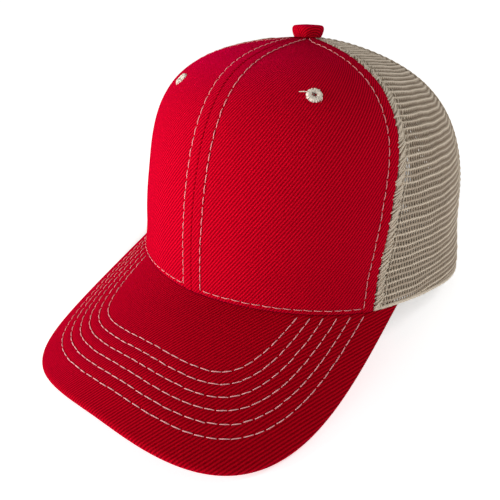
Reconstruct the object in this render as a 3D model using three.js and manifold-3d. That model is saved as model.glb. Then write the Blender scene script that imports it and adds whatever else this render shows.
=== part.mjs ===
// Six-panel trucker cap: two twill front panels, four mesh panels, a curved visor and a snap strap.
// Millimetres. Everything is drawn in the crown's own frame: +Z up the crown's axis, the visor
// towards -Y, the wearer's left towards +X and the rim's back edge at z = 0. The last lines stand
// the cap on a table, on the visor's two low edges and the rim's back, as a cap rests.
import * as THREE from 'three';
import { mergeVertices } from 'three/addons/utils/BufferGeometryUtils.js';
import Module from 'manifold-3d';

const wasm = await Module();
wasm.setup();

const { PI, abs, asin, cos, exp, hypot, max, min, sign, sin, sqrt, tan } = Math;
const rad = THREE.MathUtils.degToRad;

// ---- driving dimensions ----

// Rim, seen from above: a superellipse, with its own length and roundness in front and behind.
const RIM = { halfWidth: 88.3, front: 100.4, back: 97, frontPower: 1.91, backPower: 2.04 };

// Crown profile: a superellipse from rim to apex, blended between its front, side and back shapes.
// bulge swells it above the rim, shoulder moves that swelling up or down.
const CROWN = { height: 114.3, apexY: -7.2, peak: 2.9, peakRadius: 28 };
const PROFILES = {
  front: { run: 3.44, rise: 2.61, bulge: 0.020, shoulder: -0.017 },
  side: { run: 2.04, rise: 2.68, bulge: 0.035, shoulder: -0.033 },
  back: { run: 2.03, rise: 2.79, bulge: 0.044, shoulder: 0.012 },
};

// Seams, as angles round the crown from the front: the side seam bows backwards at mid height.
const SIDE_SEAM = rad(51.3);
const SIDE_SEAM_BOW = rad(6.6);
const REAR_SEAM = rad(117);
const BACK_SEAM = PI;

// Visor: a sheet arched about a lengthwise axis and pitched down to the front.
const VISOR = { pitch: rad(21.5), arch: 129.6, rootZ: 11.2, halfWidth: 83.9, length: 60.9 };
const VISOR_OUTLINE = { endY: -40, widthPower: 2.66, lengthPower: 3.73 };
const VISOR_TUCK = 3.8;
const VISOR_TIP_ANGLE = rad(61);
const VISOR_LAYERS = { cloth: 0.8, board: 1.6, boardGap: 0.55, gap: 0.3 };

// Layers of the crown, as depths inside its outer surface.
const LAYER = {
  cloth: [0, 0.8],
  buckram: [1.15, 1.5],
  tape: [1.35, 1.75],
  centerTape: [1.9, 2.3],
  binding: [1.45, 1.9],
  strapTab: [2.2, 2.85],
  sweatband: [3.2, 4.3],
};
const SEAM_GAP = 0.3;
const APEX_HOLE = 3.2;
const TAPE = { width: 12, topRadius: 14 };
const BUCKRAM = { fromSeam: 6.6, rows: 13 };
const SWEATBAND = { bottom: 0.4, top: 32, endX: 46.5 };

// Back opening: an arch over the snap strap, and the binding round its edge.
const OPENING = { halfWidth: 43, height: 54, power: 2.6, bindingWidth: 8 };

// Snap strap: two plastic straps with pegs in one and holes in the other.
const STRAP = { low: 4, high: 20, thickness: 1.2, hingeX: 40.2, pitch: 9, rootGap: 0.5, tipRound: 7 };
const HOLE_STRAP = { depth: 1.6, tipX: -28, firstHoleX: -22, holes: 7, holeRadius: 2.55 };
const PEG_STRAP = { depth: 3.1, tipX: 19, firstPegX: -31, pegs: 6 };
const PEG = { baseRadius: 1.85, tipRadius: 1.55, height: 1.7, root: 0.3 };
const TAB = { startX: 41.9, endX: 58 };

// Covered button on the apex, and the two embroidered eyelets.
const BUTTON = { radius: 7.8, height: 5.8, foot: 0.6, cloth: 0.8, coreGap: 0.3, hollow: 0.9 };
const RIVET = { plateRadius: 8, plateTop: -3.4, plateThickness: 1, stemRadius: 2.2, stemTop: 0.6 };
// The eyelets sit a little to the wearer's left of a mirrored pair.
const EYELET = { angle: rad(28), shift: rad(1.8), along: 0.615 };
const EYELET_RING = { outer: 3.7, inner: 1.1, neck: 1.9, hole: 2.3, front: 1.1, back: -2.5, flange: 0.5 };

// How the cap stands: pitch of the crown on the table, and the crown frame's place on it.
const SEAT = { tilt: rad(6.55), y: 30.87, z: 9.7 };

// ---- facets ----

const PANEL_COLUMNS = 8;
const PANEL_ROWS = 14;
const ROW_EASE = 1.35;
const VISOR_STEPS = 29;
const VISOR_STRETCHES = [0.07, 0.27, 0.5, 0.72, 0.88];

// ---- materials ----

const cloth = (color, roughness = 0.9) => new THREE.MeshStandardMaterial({ color, roughness });
const MATERIALS = {
  twill: cloth('#b3101f', 0.8),
  mesh: cloth('#cbbca4', 0.75),
  tape: cloth('#d8cfbd'),
  buckram: cloth('#e4e1da'),
  sweatband: cloth('#d5cab4'),
  thread: cloth('#dcccb2', 0.6),
  board: new THREE.MeshStandardMaterial({ color: '#e9e6df', roughness: 0.5 }),
  strap: new THREE.MeshStandardMaterial({ color: '#d9cdb8', roughness: 0.4 }),
  steel: new THREE.MeshStandardMaterial({ color: '#b9bbbd', roughness: 0.35, metalness: 1 }),
};

// ---- the crown's surface ----

const smooth = (t) => {
  const k = THREE.MathUtils.clamp(t, 0, 1);
  return k * k * (3 - 2 * k);
};

function rimPlan(angle) {
  const ahead = cos(angle) > 0;
  const reach = ahead ? RIM.front : RIM.back;
  const power = ahead ? RIM.frontPower : RIM.backPower;
  const sum = abs(cos(angle) / reach) ** power + abs(sin(angle) / RIM.halfWidth) ** power;
  const radius = sum ** (-1 / power);
  return new THREE.Vector2(sin(angle) * radius, -cos(angle) * radius);
}

// Height of the visor's upper surface over a point of the plan.
function visorHeight(x, y) {
  const across = min(abs(x) / VISOR.arch, 0.999);
  const sag = VISOR.arch * (1 - sqrt(1 - across * across)) / cos(VISOR.pitch);
  return VISOR.rootZ + (y + RIM.front) * tan(VISOR.pitch) - sag;
}

// The rim follows the visor's root in front, then runs down to z = 0 behind.
function rimHeight(angle) {
  const leave = SIDE_SEAM + rad(6);
  const settle = SIDE_SEAM + rad(45);
  const plan = rimPlan(min(abs(angle), leave));
  return visorHeight(plan.x, plan.y) * (1 - smooth((abs(angle) - leave) / (settle - leave)));
}

function profileAt(angle) {
  const front = smooth(cos(angle));
  const back = smooth(-cos(angle));
  const mix = (key) => front * PROFILES.front[key] + back * PROFILES.back[key]
    + (1 - front - back) * PROFILES.side[key];
  return { run: mix('run'), rise: mix('rise'), bulge: mix('bulge'), shoulder: mix('shoulder') };
}

// How far out the surface stands, as a share of the rim's reach, at s = 0 (rim) to 1 (apex).
function reachAt(angle, s) {
  const p = profileAt(angle);
  return max(cos(s * PI / 2), 0) ** (2 / p.run) + p.bulge * sin(PI * s) + p.shoulder * sin(2 * PI * s);
}

function crownPoint(angle, s) {
  const p = profileAt(angle);
  const rim = rimPlan(angle);
  const base = rimHeight(angle);
  const reach = reachAt(angle, s);
  const rise = max(sin(s * PI / 2), 0) ** (2 / p.rise);
  const peak = CROWN.peak * exp(-((reach * 80 / CROWN.peakRadius) ** 2));
  const z = base + (CROWN.height - CROWN.peak - base) * rise + peak;
  return new THREE.Vector3(reach * rim.x, CROWN.apexY + reach * (rim.y - CROWN.apexY), z);
}

function crownNormal(angle, s) {
  const step = 1e-3;
  const low = max(s - step, 1e-5);
  const across = crownPoint(angle + step, s).sub(crownPoint(angle - step, s));
  const along = crownPoint(angle, low + 2 * step).sub(crownPoint(angle, low));
  return across.cross(along).normalize();
}

// The point at a depth inside the crown's outer surface.
const insideCrown = (angle, s, depth) =>
  crownPoint(angle, s).addScaledVector(crownNormal(angle, s), -depth);

function bisect(low, high, isLow) {
  let [a, b] = [low, high];
  for (let i = 0; i < 40; i += 1) {
    const mid = (a + b) / 2;
    if (isLow(mid)) a = mid;
    else b = mid;
  }
  return (a + b) / 2;
}

const planRadius = (angle, s) => reachAt(angle, s) * hypot(...rimPlan(angle));

// The s at which the crown has closed in to a radius round its apex.
const sAtRadius = (angle, radius) => bisect(0.5, 1, (s) => planRadius(angle, s) > radius);

// Rows climb from the rim (0) to the hole at the apex (1), closer together near the top.
const sAtRow = (angle, row) => sAtRadius(angle, APEX_HOLE) * (1 - (1 - row) ** ROW_EASE);

// The s at a height above the rim, below the peak.
function sAtHeight(angle, height) {
  const share = height / (CROWN.height - CROWN.peak - rimHeight(angle));
  return asin(share ** (profileAt(angle).rise / 2)) * 2 / PI;
}

// The angle at which the back of the crown has a given x, at a height above the rim.
const angleAtX = (x, height) =>
  sign(x) * bisect(PI / 2, PI, (angle) => crownPoint(angle, sAtHeight(angle, height)).x > abs(x));

const sideSeam = (s) => SIDE_SEAM + SIDE_SEAM_BOW * sin(PI * s);

// An angle moved sideways by a distance along the surface.
const shifted = (angle, s, distance) => angle + distance / max(planRadius(angle, s), 1);

// ---- closed solids ----

const indexed = (geometry) => {
  geometry.deleteAttribute('normal');
  geometry.deleteAttribute('uv');
  return mergeVertices(geometry);
};

// Moves every vertex of a geometry to the point that a function of (x, y, z) gives.
function bend(geometry, toPoint) {
  const bent = indexed(geometry);
  const position = bent.attributes.position;
  for (let i = 0; i < position.count; i += 1) {
    const point = toPoint(position.getX(i), position.getY(i), position.getZ(i));
    position.setXYZ(i, point.x, point.y, point.z);
  }
  return bent;
}

// A slab whose grid lines lie at the listed columns and rows: a box bent to shape. toPoint takes
// (column, row, outward), and outward is 1 on the slab's outer face and 0 on its inner one.
function slab(columns, rows, toPoint) {
  const box = new THREE.BoxGeometry(1, 1, 1, columns.length - 1, rows.length - 1, 1);
  const pick = (list, t) => list[Math.round((t + 0.5) * (list.length - 1))];
  return bend(box, (x, y, z) => toPoint(pick(columns, x), pick(rows, y), z + 0.5));
}

const steps = (count, from = 0, to = 1) =>
  Array.from({ length: count + 1 }, (_, i) => from + (to - from) * i / count);

const depthOf = ([outer, inner], outward) => inner + (outer - inner) * outward;

function toSolid(geometry) {
  const source = geometry.index && !geometry.attributes.normal ? geometry : indexed(geometry);
  const mesh = new wasm.Mesh({
    numProp: 3,
    vertProperties: new Float32Array(source.attributes.position.array),
    triVerts: new Uint32Array(source.index.array),
  });
  mesh.merge();
  return new wasm.Manifold(mesh);
}

function toGeometry(solid) {
  const mesh = solid.getMesh();
  const geometry = new THREE.BufferGeometry();
  geometry.setAttribute('position', new THREE.BufferAttribute(mesh.vertProperties, 3));
  geometry.setIndex(new THREE.BufferAttribute(mesh.triVerts, 1));
  return geometry;
}

// ---- crown panels ----

const ROWS = steps(PANEL_ROWS);
const COLUMNS = steps(PANEL_COLUMNS);

// A panel between two seams, each given as an angle that may change with s.
function panel(fromSeam, toSeam, layer, columns = COLUMNS, rows = ROWS) {
  return slab(columns, rows, (column, row, outward) => {
    const guess = fromSeam(0.5) * (1 - column) + toSeam(0.5) * column;
    const s = sAtRow(guess, row);
    const left = shifted(fromSeam(s), s, SEAM_GAP / 2);
    const right = shifted(toSeam(s), s, -SEAM_GAP / 2);
    return insideCrown(left + (right - left) * column, s, depthOf(layer, outward));
  });
}

const SEAMS = {
  center: () => 0,
  side: sideSeam,
  rear: () => REAR_SEAM,
  back: () => BACK_SEAM,
};

// The panel on the wearer's left or right between two seams named from front to back.
function sidedPanel(side, front, back, ...rest) {
  return side > 0
    ? panel(SEAMS[front], SEAMS[back], ...rest)
    : panel((s) => -SEAMS[back](s), (s) => -SEAMS[front](s), ...rest);
}

const drill = (side) => {
  const punch = new THREE.CylinderGeometry(EYELET_RING.hole, EYELET_RING.hole, 12, 16).rotateX(PI / 2);
  punch.applyQuaternion(eyeletTurn(side));
  punch.translate(...eyeletPoint(side));
  return toSolid(punch);
};

const eyeletAngle = (side) => side * EYELET.angle + EYELET.shift;

const eyeletPoint = (side) => crownPoint(eyeletAngle(side), EYELET.along);

function eyeletTurn(side) {
  const normal = crownNormal(eyeletAngle(side), EYELET.along);
  return new THREE.Quaternion().setFromUnitVectors(new THREE.Vector3(0, 0, 1), normal);
}

const frontPanel = (side) =>
  toGeometry(toSolid(sidedPanel(side, 'center', 'side', LAYER.cloth)).subtract(drill(side)));

// The stiffening behind a front panel stops short of the side seam's tape, the rim and the apex.
function buckram(side) {
  const edge = (s) => side * shifted(sideSeam(s), s, -BUCKRAM.fromSeam);
  const rows = [0.001, ...ROWS.slice(1, BUCKRAM.rows)];
  const sheet = side > 0
    ? panel(SEAMS.center, edge, LAYER.buckram, COLUMNS, rows)
    : panel(edge, SEAMS.center, LAYER.buckram, COLUMNS, rows);
  return toGeometry(toSolid(sheet).subtract(drill(side)));
}

const sideMesh = (side) => sidedPanel(side, 'side', 'rear', LAYER.cloth);

// The arch of the back opening, drawn as seen from behind, out to a margin round its edge.
function archPoint(t, margin = 0) {
  const round = (value) => sign(value) * abs(value) ** (2 / OPENING.power);
  return new THREE.Vector2(
    (OPENING.halfWidth + margin) * round(cos(t)),
    (OPENING.height + margin) * round(sin(t)),
  );
}

function openingCutter() {
  const below = -20;
  const arch = steps(36, 0, PI).map((t) => archPoint(t));
  const foot = [new THREE.Vector2(-OPENING.halfWidth, below), new THREE.Vector2(OPENING.halfWidth, below)];
  const shape = new THREE.Shape([...arch, ...foot]);
  const block = new THREE.ExtrudeGeometry(shape, { depth: 90, bevelEnabled: false, steps: 1 });
  return toSolid(block.rotateX(PI / 2).translate(0, 125, 0));
}

const backMesh = (side) =>
  toGeometry(toSolid(sidedPanel(side, 'rear', 'back', LAYER.cloth)).subtract(openingCutter()));

// ---- tapes inside the crown ----

// A tape along a seam, from a row up to a radius short of the apex.
function seamTape(seam, layer, firstRow = 0.001) {
  const halfWidth = TAPE.width / 2;
  const lastRow = bisect(0.5, 1, (row) => planRadius(seam(1), sAtRow(seam(1), row)) > TAPE.topRadius);
  const between = ROWS.filter((row) => row > firstRow + 0.01 && row < lastRow - 0.01);
  const rows = [firstRow, ...between, lastRow];
  return slab([-halfWidth, 0, halfWidth], rows, (offset, row, outward) => {
    const s = sAtRow(seam(0.5), row);
    return insideCrown(shifted(seam(s), s, offset), s, depthOf(layer, outward));
  });
}

const sideTape = (side) => seamTape((s) => side * sideSeam(s), LAYER.tape);
const rearTape = (side) => seamTape(() => side * REAR_SEAM, LAYER.tape);

// The back seam's tape starts above the opening's binding.
function backTape() {
  const start = OPENING.height + OPENING.bindingWidth + 1;
  const firstRow = bisect(0, 1, (row) => crownPoint(PI, sAtRow(PI, row)).z < start);
  return seamTape(SEAMS.back, LAYER.tape, firstRow);
}

// The binding follows the arch on the crown's inner face, from its edge outwards.
function openingBinding() {
  const ends = 0.012;
  return slab(steps(32, PI * ends, PI * (1 - ends)), steps(1), (t, row, outward) => {
    const flat = archPoint(t, 0.3 + row * OPENING.bindingWidth);
    const height = max(flat.y, 0.8);
    const angle = abs(flat.x) < 1e-6 ? PI : angleAtX(flat.x, height);
    const around = angle < 0 ? angle + 2 * PI : angle;
    return insideCrown(around, sAtHeight(around, height), depthOf(LAYER.binding, outward));
  });
}

function sweatband() {
  const end = angleAtX(SWEATBAND.endX, SWEATBAND.bottom);
  const heights = steps(2, SWEATBAND.bottom, SWEATBAND.top);
  return slab(steps(44, -end, end), heights, (angle, height, outward) =>
    insideCrown(angle, sAtHeight(angle, height), depthOf(LAYER.sweatband, outward)));
}

// ---- visor ----

// The visor's outline in plan, for t from -90 to 90 degrees round its front.
function visorOutline(t) {
  const across = VISOR.halfWidth * sign(sin(t)) * abs(sin(t)) ** (2 / VISOR_OUTLINE.widthPower);
  const frontY = -RIM.front - VISOR.length;
  const ahead = abs(cos(t)) ** (2 / VISOR_OUTLINE.lengthPower);
  const y = VISOR_OUTLINE.endY + (frontY - VISOR_OUTLINE.endY) * ahead;
  return new THREE.Vector2(VISOR.arch * sin(across / VISOR.arch), y);
}

// The outline's point in the direction of an angle round the crown.
function visorEdge(angle) {
  const t = bisect(0, PI / 2, (guess) => {
    const point = visorOutline(guess);
    return Math.atan2(point.x, -point.y) < abs(angle);
  });
  const point = visorOutline(t);
  return new THREE.Vector2(point.x * sign(angle), point.y);
}

// A point of the visor: across from its tucked root (0) to its edge (1), and a depth below its top.
function visorPoint(angle, across, depth) {
  const rim = rimPlan(angle);
  const root = rim.clone().setLength(rim.length() - VISOR_TUCK);
  const edge = visorEdge(angle);
  const plan = root.lerp(edge, across);
  const outside = plan.length() > rim.length() ? plan : rim;
  const lift = rimHeight(angle) - visorHeight(rim.x, rim.y);
  const z = visorHeight(outside.x, outside.y) + lift - VISOR_LAYERS.gap;
  const sine = THREE.MathUtils.clamp(outside.x / VISOR.arch, -0.999, 0.999);
  const slopeX = -sine / sqrt(1 - sine * sine) / cos(VISOR.pitch);
  const normal = new THREE.Vector3(-slopeX, -tan(VISOR.pitch), 1).normalize();
  return new THREE.Vector3(plan.x, plan.y, z).addScaledVector(normal, -depth);
}

// Sweeps a section, drawn as across (x) and height (y), round the visor's front.
function visorSweep(section) {
  const options = { depth: 1, bevelEnabled: false, steps: VISOR_STEPS };
  const straight = new THREE.ExtrudeGeometry(new THREE.Shape(section), options);
  return bend(straight, (x, y, z) => visorPoint(VISOR_TIP_ANGLE * (1 - 2 * z), x, -y));
}

const VISOR_DEPTH = 2 * (VISOR_LAYERS.cloth + VISOR_LAYERS.boardGap) + VISOR_LAYERS.board;

// A cloth cover: flat, then rolled round the front edge to the middle of the visor's thickness.
// face is 1 for the upper cover and -1 for the lower one.
function visorCover(face) {
  const half = VISOR_DEPTH / 2;
  const nose = 0.034;
  const stretches = [0, ...VISOR_STRETCHES];
  const roll = (inset) => steps(3, PI / 2, PI / 20).map((t) => new THREE.Vector2(
    1 - nose + (nose - inset * nose / half) * cos(t),
    (half - inset) * sin(t),
  ));
  const outer = [...stretches.map((x) => new THREE.Vector2(x, half)), ...roll(0)];
  const inner = [...stretches.map((x) => new THREE.Vector2(x, half - VISOR_LAYERS.cloth)),
    ...roll(VISOR_LAYERS.cloth)].reverse();
  const loop = [...outer, ...inner].map((point) => new THREE.Vector2(point.x, face * point.y - half));
  return visorSweep(loop);
}

function visorBoard() {
  const top = -(VISOR_LAYERS.cloth + VISOR_LAYERS.boardGap);
  const bottom = top - VISOR_LAYERS.board;
  const stretches = [0.01, ...VISOR_STRETCHES, 0.935];
  return visorSweep([
    ...stretches.map((x) => new THREE.Vector2(x, top)),
    ...stretches.map((x) => new THREE.Vector2(x, bottom)).reverse(),
  ]);
}

// ---- button and eyelets ----

const lathe = (points, segments) =>
  new THREE.LatheGeometry(points.map(([r, z]) => new THREE.Vector2(r, z)), segments).rotateX(PI / 2);

// The button's outline from its foot up to the axis, shrunk by an inset: it widens upwards to a
// rounded shoulder under a nearly flat top.
function buttonOutline(inset) {
  const { radius, height, foot } = BUTTON;
  return [
    [radius * 0.86 - inset, foot],
    [radius * 0.93 - inset, height * 0.3],
    [radius - inset, height * 0.62],
    [radius * 0.97 - inset, height * 0.8 - inset * 0.4],
    [radius * 0.86 - inset * 0.8, height * 0.93 - inset * 0.8],
    [radius * 0.5, height * 0.99 - inset],
    [0, height - inset],
  ];
}

function buttonCover() {
  const outer = buttonOutline(0);
  return lathe([...outer, ...buttonOutline(BUTTON.cloth).reverse(), outer[0]], 20);
}

const buttonCore = () =>
  lathe([[0, BUTTON.hollow], ...buttonOutline(BUTTON.cloth + BUTTON.coreGap)], 20);

// The rivet's plate lies inside the crown and its stem comes up through the apex hole.
function buttonRivet() {
  const plateBottom = RIVET.plateTop - RIVET.plateThickness;
  return lathe([
    [0, plateBottom],
    [RIVET.plateRadius, plateBottom],
    [RIVET.plateRadius, RIVET.plateTop],
    [RIVET.stemRadius, RIVET.plateTop],
    [RIVET.stemRadius, RIVET.stemTop],
    [0, RIVET.stemTop],
  ], 20);
}

// An eyelet grips the front panel and its buckram between two thread flanges.
function eyelet() {
  const { outer, inner, neck, front, back, flange } = EYELET_RING;
  return lathe([
    [inner, back],
    [outer, back],
    [outer, back + flange],
    [neck, back + flange],
    [neck, flange],
    [outer, flange],
    [outer * 0.8, front],
    [inner * 1.4, front],
    [inner, front - 0.4],
    [inner, back],
  ], 16);
}

// ---- snap strap ----

// The straps stand upright and follow the back of the crown at their own mid height.
function strapFrame(x) {
  const height = (STRAP.low + STRAP.high) / 2;
  const angle = x === 0 ? PI : angleAtX(x, height);
  const point = crownPoint(angle, sAtHeight(angle, height));
  const outward = crownNormal(angle, sAtHeight(angle, height)).setZ(0).normalize();
  return { point, outward };
}

function strapPoint(x, z, depth) {
  const { point, outward } = strapFrame(x);
  return point.addScaledVector(outward, -depth).setZ(z);
}

// A strap from its root to a rounded tip. Its columns always run from +X to -X.
function strapBlank(rootX, tipX, depth) {
  const middle = (STRAP.low + STRAP.high) / 2;
  const halfHeight = (STRAP.high - STRAP.low) / 2;
  const inwards = sign(rootX - tipX);
  const columns = steps(26, rootX, tipX);
  if (inwards < 0) columns.reverse();
  return slab(columns, steps(2, -1, 1), (x, side, outward) => {
    const left = abs(x - tipX);
    const lack = max(STRAP.tipRound - left, 0);
    const taper = halfHeight - STRAP.tipRound + sqrt(max(STRAP.tipRound ** 2 - lack ** 2, 0));
    const z = middle + side * taper;
    return strapPoint(x, z, depth + STRAP.thickness * (1 - outward));
  });
}

// A round peg or punch standing outward on the strap's middle line.
function strapCylinder(x, depth, baseRadius, tipRadius, height) {
  const { outward } = strapFrame(x);
  const cylinder = new THREE.CylinderGeometry(tipRadius, baseRadius, height, 14);
  const up = new THREE.Vector3(0, 1, 0);
  cylinder.translate(0, height / 2, 0);
  cylinder.applyQuaternion(new THREE.Quaternion().setFromUnitVectors(up, outward));
  cylinder.translate(...strapPoint(x, (STRAP.low + STRAP.high) / 2, depth));
  return toSolid(cylinder);
}

function holeStrap() {
  let strap = toSolid(strapBlank(STRAP.hingeX - STRAP.rootGap, HOLE_STRAP.tipX, HOLE_STRAP.depth));
  for (let i = 0; i < HOLE_STRAP.holes; i += 1) {
    const x = HOLE_STRAP.firstHoleX + i * STRAP.pitch;
    const radius = HOLE_STRAP.holeRadius;
    strap = strap.subtract(strapCylinder(x, HOLE_STRAP.depth + 3, radius, radius, 6));
  }
  return toGeometry(strap);
}

function pegStrap() {
  let strap = toSolid(strapBlank(-STRAP.hingeX + STRAP.rootGap, PEG_STRAP.tipX, PEG_STRAP.depth));
  for (let i = 0; i < PEG_STRAP.pegs; i += 1) {
    const x = PEG_STRAP.firstPegX + i * STRAP.pitch;
    const height = PEG.height + PEG.root;
    strap = strap.add(strapCylinder(x, PEG_STRAP.depth + PEG.root, PEG.baseRadius, PEG.tipRadius, height));
  }
  return toGeometry(strap);
}

// The sewn-in end of a strap, between the crown and the sweatband.
function strapTab(side) {
  const heights = steps(1, STRAP.low, STRAP.high);
  const reach = side > 0 ? steps(3, TAB.endX, TAB.startX) : steps(3, -TAB.startX, -TAB.endX);
  return slab(reach, heights, (x, height, outward) => {
    const angle = angleAtX(x, height);
    const around = angle < 0 ? angle + 2 * PI : angle;
    return insideCrown(around, sAtHeight(around, height), depthOf(LAYER.strapTab, outward));
  });
}

// ---- assembly ----

const cap = new THREE.Group();

function add(name, geometry, material) {
  const piece = new THREE.Mesh(geometry, MATERIALS[material]);
  piece.name = name;
  cap.add(piece);
  return piece;
}

for (const [side, name] of [[1, 'left'], [-1, 'right']]) {
  add(`front_panel_${name}`, frontPanel(side), 'twill');
  add(`front_buckram_${name}`, buckram(side), 'buckram');
  add(`side_mesh_${name}`, sideMesh(side), 'mesh');
  add(`back_mesh_${name}`, backMesh(side), 'mesh');
  add(`side_seam_tape_${name}`, sideTape(side), 'tape');
  add(`rear_seam_tape_${name}`, rearTape(side), 'tape');
  const ring = add(`eyelet_${name}`, eyelet(), 'thread');
  ring.position.copy(eyeletPoint(side));
  ring.quaternion.copy(eyeletTurn(side));
}
add('center_seam_tape', seamTape(SEAMS.center, LAYER.centerTape), 'tape');
add('back_seam_tape', backTape(), 'tape');
add('opening_binding', openingBinding(), 'tape');
add('sweatband', sweatband(), 'sweatband');

add('visor_board', visorBoard(), 'board');
add('visor_cover_top', visorCover(1), 'twill');
add('visor_cover_bottom', visorCover(-1), 'twill');

const button = [
  add('button_cover', buttonCover(), 'twill'),
  add('button_core', buttonCore(), 'steel'),
  add('button_rivet', buttonRivet(), 'steel'),
];
for (const piece of button) piece.position.set(0, CROWN.apexY, CROWN.height);

add('hole_strap', holeStrap(), 'strap');
add('hole_strap_tab', strapTab(1), 'strap');
add('peg_strap', pegStrap(), 'strap');
add('peg_strap_tab', strapTab(-1), 'strap');

cap.rotation.x = -SEAT.tilt;
cap.position.set(0, SEAT.y, SEAT.z);

const model = new THREE.Group();
model.add(cap);

export default model;
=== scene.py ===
"""A six-panel trucker cap: red twill front and visor, cream knitted mesh, snap strap behind.

The shape follows the same formulas as the CAD frame, in millimetres in the crown's own frame
(+Z up the crown's axis, visor towards -Y, the wearer's left towards +X, rim's back at z = 0).
to_row() carries points from there to the row frame in metres.
"""
import math

import bmesh
import bpy
import numpy as np
from mathutils import Matrix, Vector


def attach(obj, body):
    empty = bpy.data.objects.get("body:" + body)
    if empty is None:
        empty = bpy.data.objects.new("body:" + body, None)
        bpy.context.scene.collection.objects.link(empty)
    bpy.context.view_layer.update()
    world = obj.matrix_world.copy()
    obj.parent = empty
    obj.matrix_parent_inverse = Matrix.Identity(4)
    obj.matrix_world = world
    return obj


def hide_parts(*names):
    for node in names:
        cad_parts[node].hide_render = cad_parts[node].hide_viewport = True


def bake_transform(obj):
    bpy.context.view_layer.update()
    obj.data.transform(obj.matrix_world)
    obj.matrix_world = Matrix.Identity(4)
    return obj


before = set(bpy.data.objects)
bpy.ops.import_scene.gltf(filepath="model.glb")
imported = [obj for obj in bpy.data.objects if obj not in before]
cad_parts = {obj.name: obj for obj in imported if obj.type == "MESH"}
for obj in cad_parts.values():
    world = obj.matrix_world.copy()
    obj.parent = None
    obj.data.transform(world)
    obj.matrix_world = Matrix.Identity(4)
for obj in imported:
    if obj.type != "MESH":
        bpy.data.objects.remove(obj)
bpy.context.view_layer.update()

PI = math.pi
RANDOM = np.random.default_rng(11)

# ---- driving dimensions, as in the CAD frame ----

RIM_HALF, RIM_FRONT, RIM_BACK = 88.3, 100.4, 97.0
RIM_FRONT_POWER, RIM_BACK_POWER = 1.91, 2.04
CROWN_HEIGHT, APEX_Y, PEAK, PEAK_RADIUS = 114.3, -7.2, 2.9, 28.0
PROFILES = {
    "run": (3.44, 2.04, 2.03),
    "rise": (2.61, 2.68, 2.79),
    "bulge": (0.020, 0.035, 0.044),
    "shoulder": (-0.017, -0.033, 0.012),
}
SIDE_SEAM, SIDE_BOW = math.radians(51.3), math.radians(6.6)
REAR_SEAM = math.radians(117)
APEX_HOLE, SEAM_TOP = 3.2, 0.985

VISOR_PITCH, VISOR_ARCH, VISOR_ROOT_Z = math.radians(21.5), 129.6, 11.2
VISOR_HALF, VISOR_LENGTH, VISOR_END_Y = 83.9, 60.9, -40.0
VISOR_WIDTH_POWER, VISOR_LENGTH_POWER = 2.66, 3.73
VISOR_TUCK, VISOR_TIP, VISOR_DEPTH, VISOR_CLOTH = 3.8, math.radians(61), 4.3, 0.62

OPENING_HALF, OPENING_HEIGHT, OPENING_POWER = 43.0, 54.0, 2.6
STRAP_LOW, STRAP_HIGH, STRAP_THICK, STRAP_HINGE, STRAP_PITCH = 4.0, 20.0, 1.2, 40.2, 9.0
BUTTON_RADIUS, BUTTON_HEIGHT = 7.9, 5.9
EYELET_ANGLE, EYELET_SHIFT, EYELET_ALONG = math.radians(28), math.radians(1.8), 0.615

SEAT_TILT, SEAT_Y, SEAT_Z = math.radians(6.55), 30.87, 9.7

# ---- cloth and stitch sizes ----

TWILL_PITCH = 1.2
TWILL_ANGLE, VISOR_TWILL_ANGLE = math.radians(55), math.radians(66)
GRAIN_TURN = 0.32
STITCH_PITCH, STITCH_GAP, STITCH_WIDTH, STITCH_WANDER = 4.4, 0.8, 0.41, 0.12
SEAM_STITCH_WIDTH = 0.38
CENTER_ROWS = 4.8
SIDE_ROW = 5.9
RIM_ROW = 2.4
VISOR_FIRST_ROW, VISOR_ROW_GAP, VISOR_ROWS = 11.4, 4.8, 6
KNIT_WIDTH, KNIT_HEIGHT, KNIT_FOOT = 1.78, 2.85, -11.3
KNIT_COLUMNS, KNIT_ROWS = 62, 68
LOOP_STEP, LOOP_REACH, LOOP_CLIMB = 1.45, 5.2, 3.0
EYELET_SPOKES, EYELET_REACH, EYELET_RING, EYELET_CUT = 31, 3.3, 1.1, 0.8

# radii that turn an angle round the cap into a length of cloth
OUTER_RADIUS, INNER_RADIUS, VISOR_RADIUS = 90, 88, 125

# ---- cloth, tapes, sweatband and strap: thickness, depth under the crown's skin, and ends ----

FRONT_THICK = 0.62
BUCKRAM_OUTSIDE, BUCKRAM_INSIDE, BUCKRAM_MARGIN = 1.15, 1.5, 6.6
TAPE_DEPTH, CENTER_TAPE_DEPTH, TAPE_THICK, TAPE_HALF, TAPE_ROW = 1.35, 1.95, 0.4, 6, 4.2
BAND_DEPTH, BAND_FOOT, BAND_TOP, BAND_END_X = 3.2, 0.5, 32, 46.5
BAND_LOW_ROW, BAND_HIGH_ROW = 3.0, 30.6
HOLE_DEPTH, PEG_DEPTH, SEWN_DEPTH, SEWN_THICK = 1.6, 3.1, 2.2, 0.65
HOLE_TIP_X, PEG_TIP_X, STRAP_END, TIP_ROUND = -28.0, 19.0, 58, 7.0
FIRST_HOLE_X, HOLES, HOLE_RADIUS = -22, 7, 2.55
FIRST_PEG_X, PEGS = -31, 6
ROD_SIDES = 28

# ---- how the cloth departs from the CAD: rear corners flared, flanks drawn in ----

FLARE, FLARE_ANGLE, FLARE_SPREAD, FLARE_HEIGHT = 0.043, math.radians(101), math.radians(24), 30
HOLLOW, HOLLOW_ANGLE, HOLLOW_SPREAD = 0.03, math.radians(52), math.radians(40)
HOLLOW_FOOT, HOLLOW_MIDDLE, HOLLOW_HEAD = 20, 52, 34


# ---- frame and shape formulas ----

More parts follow.
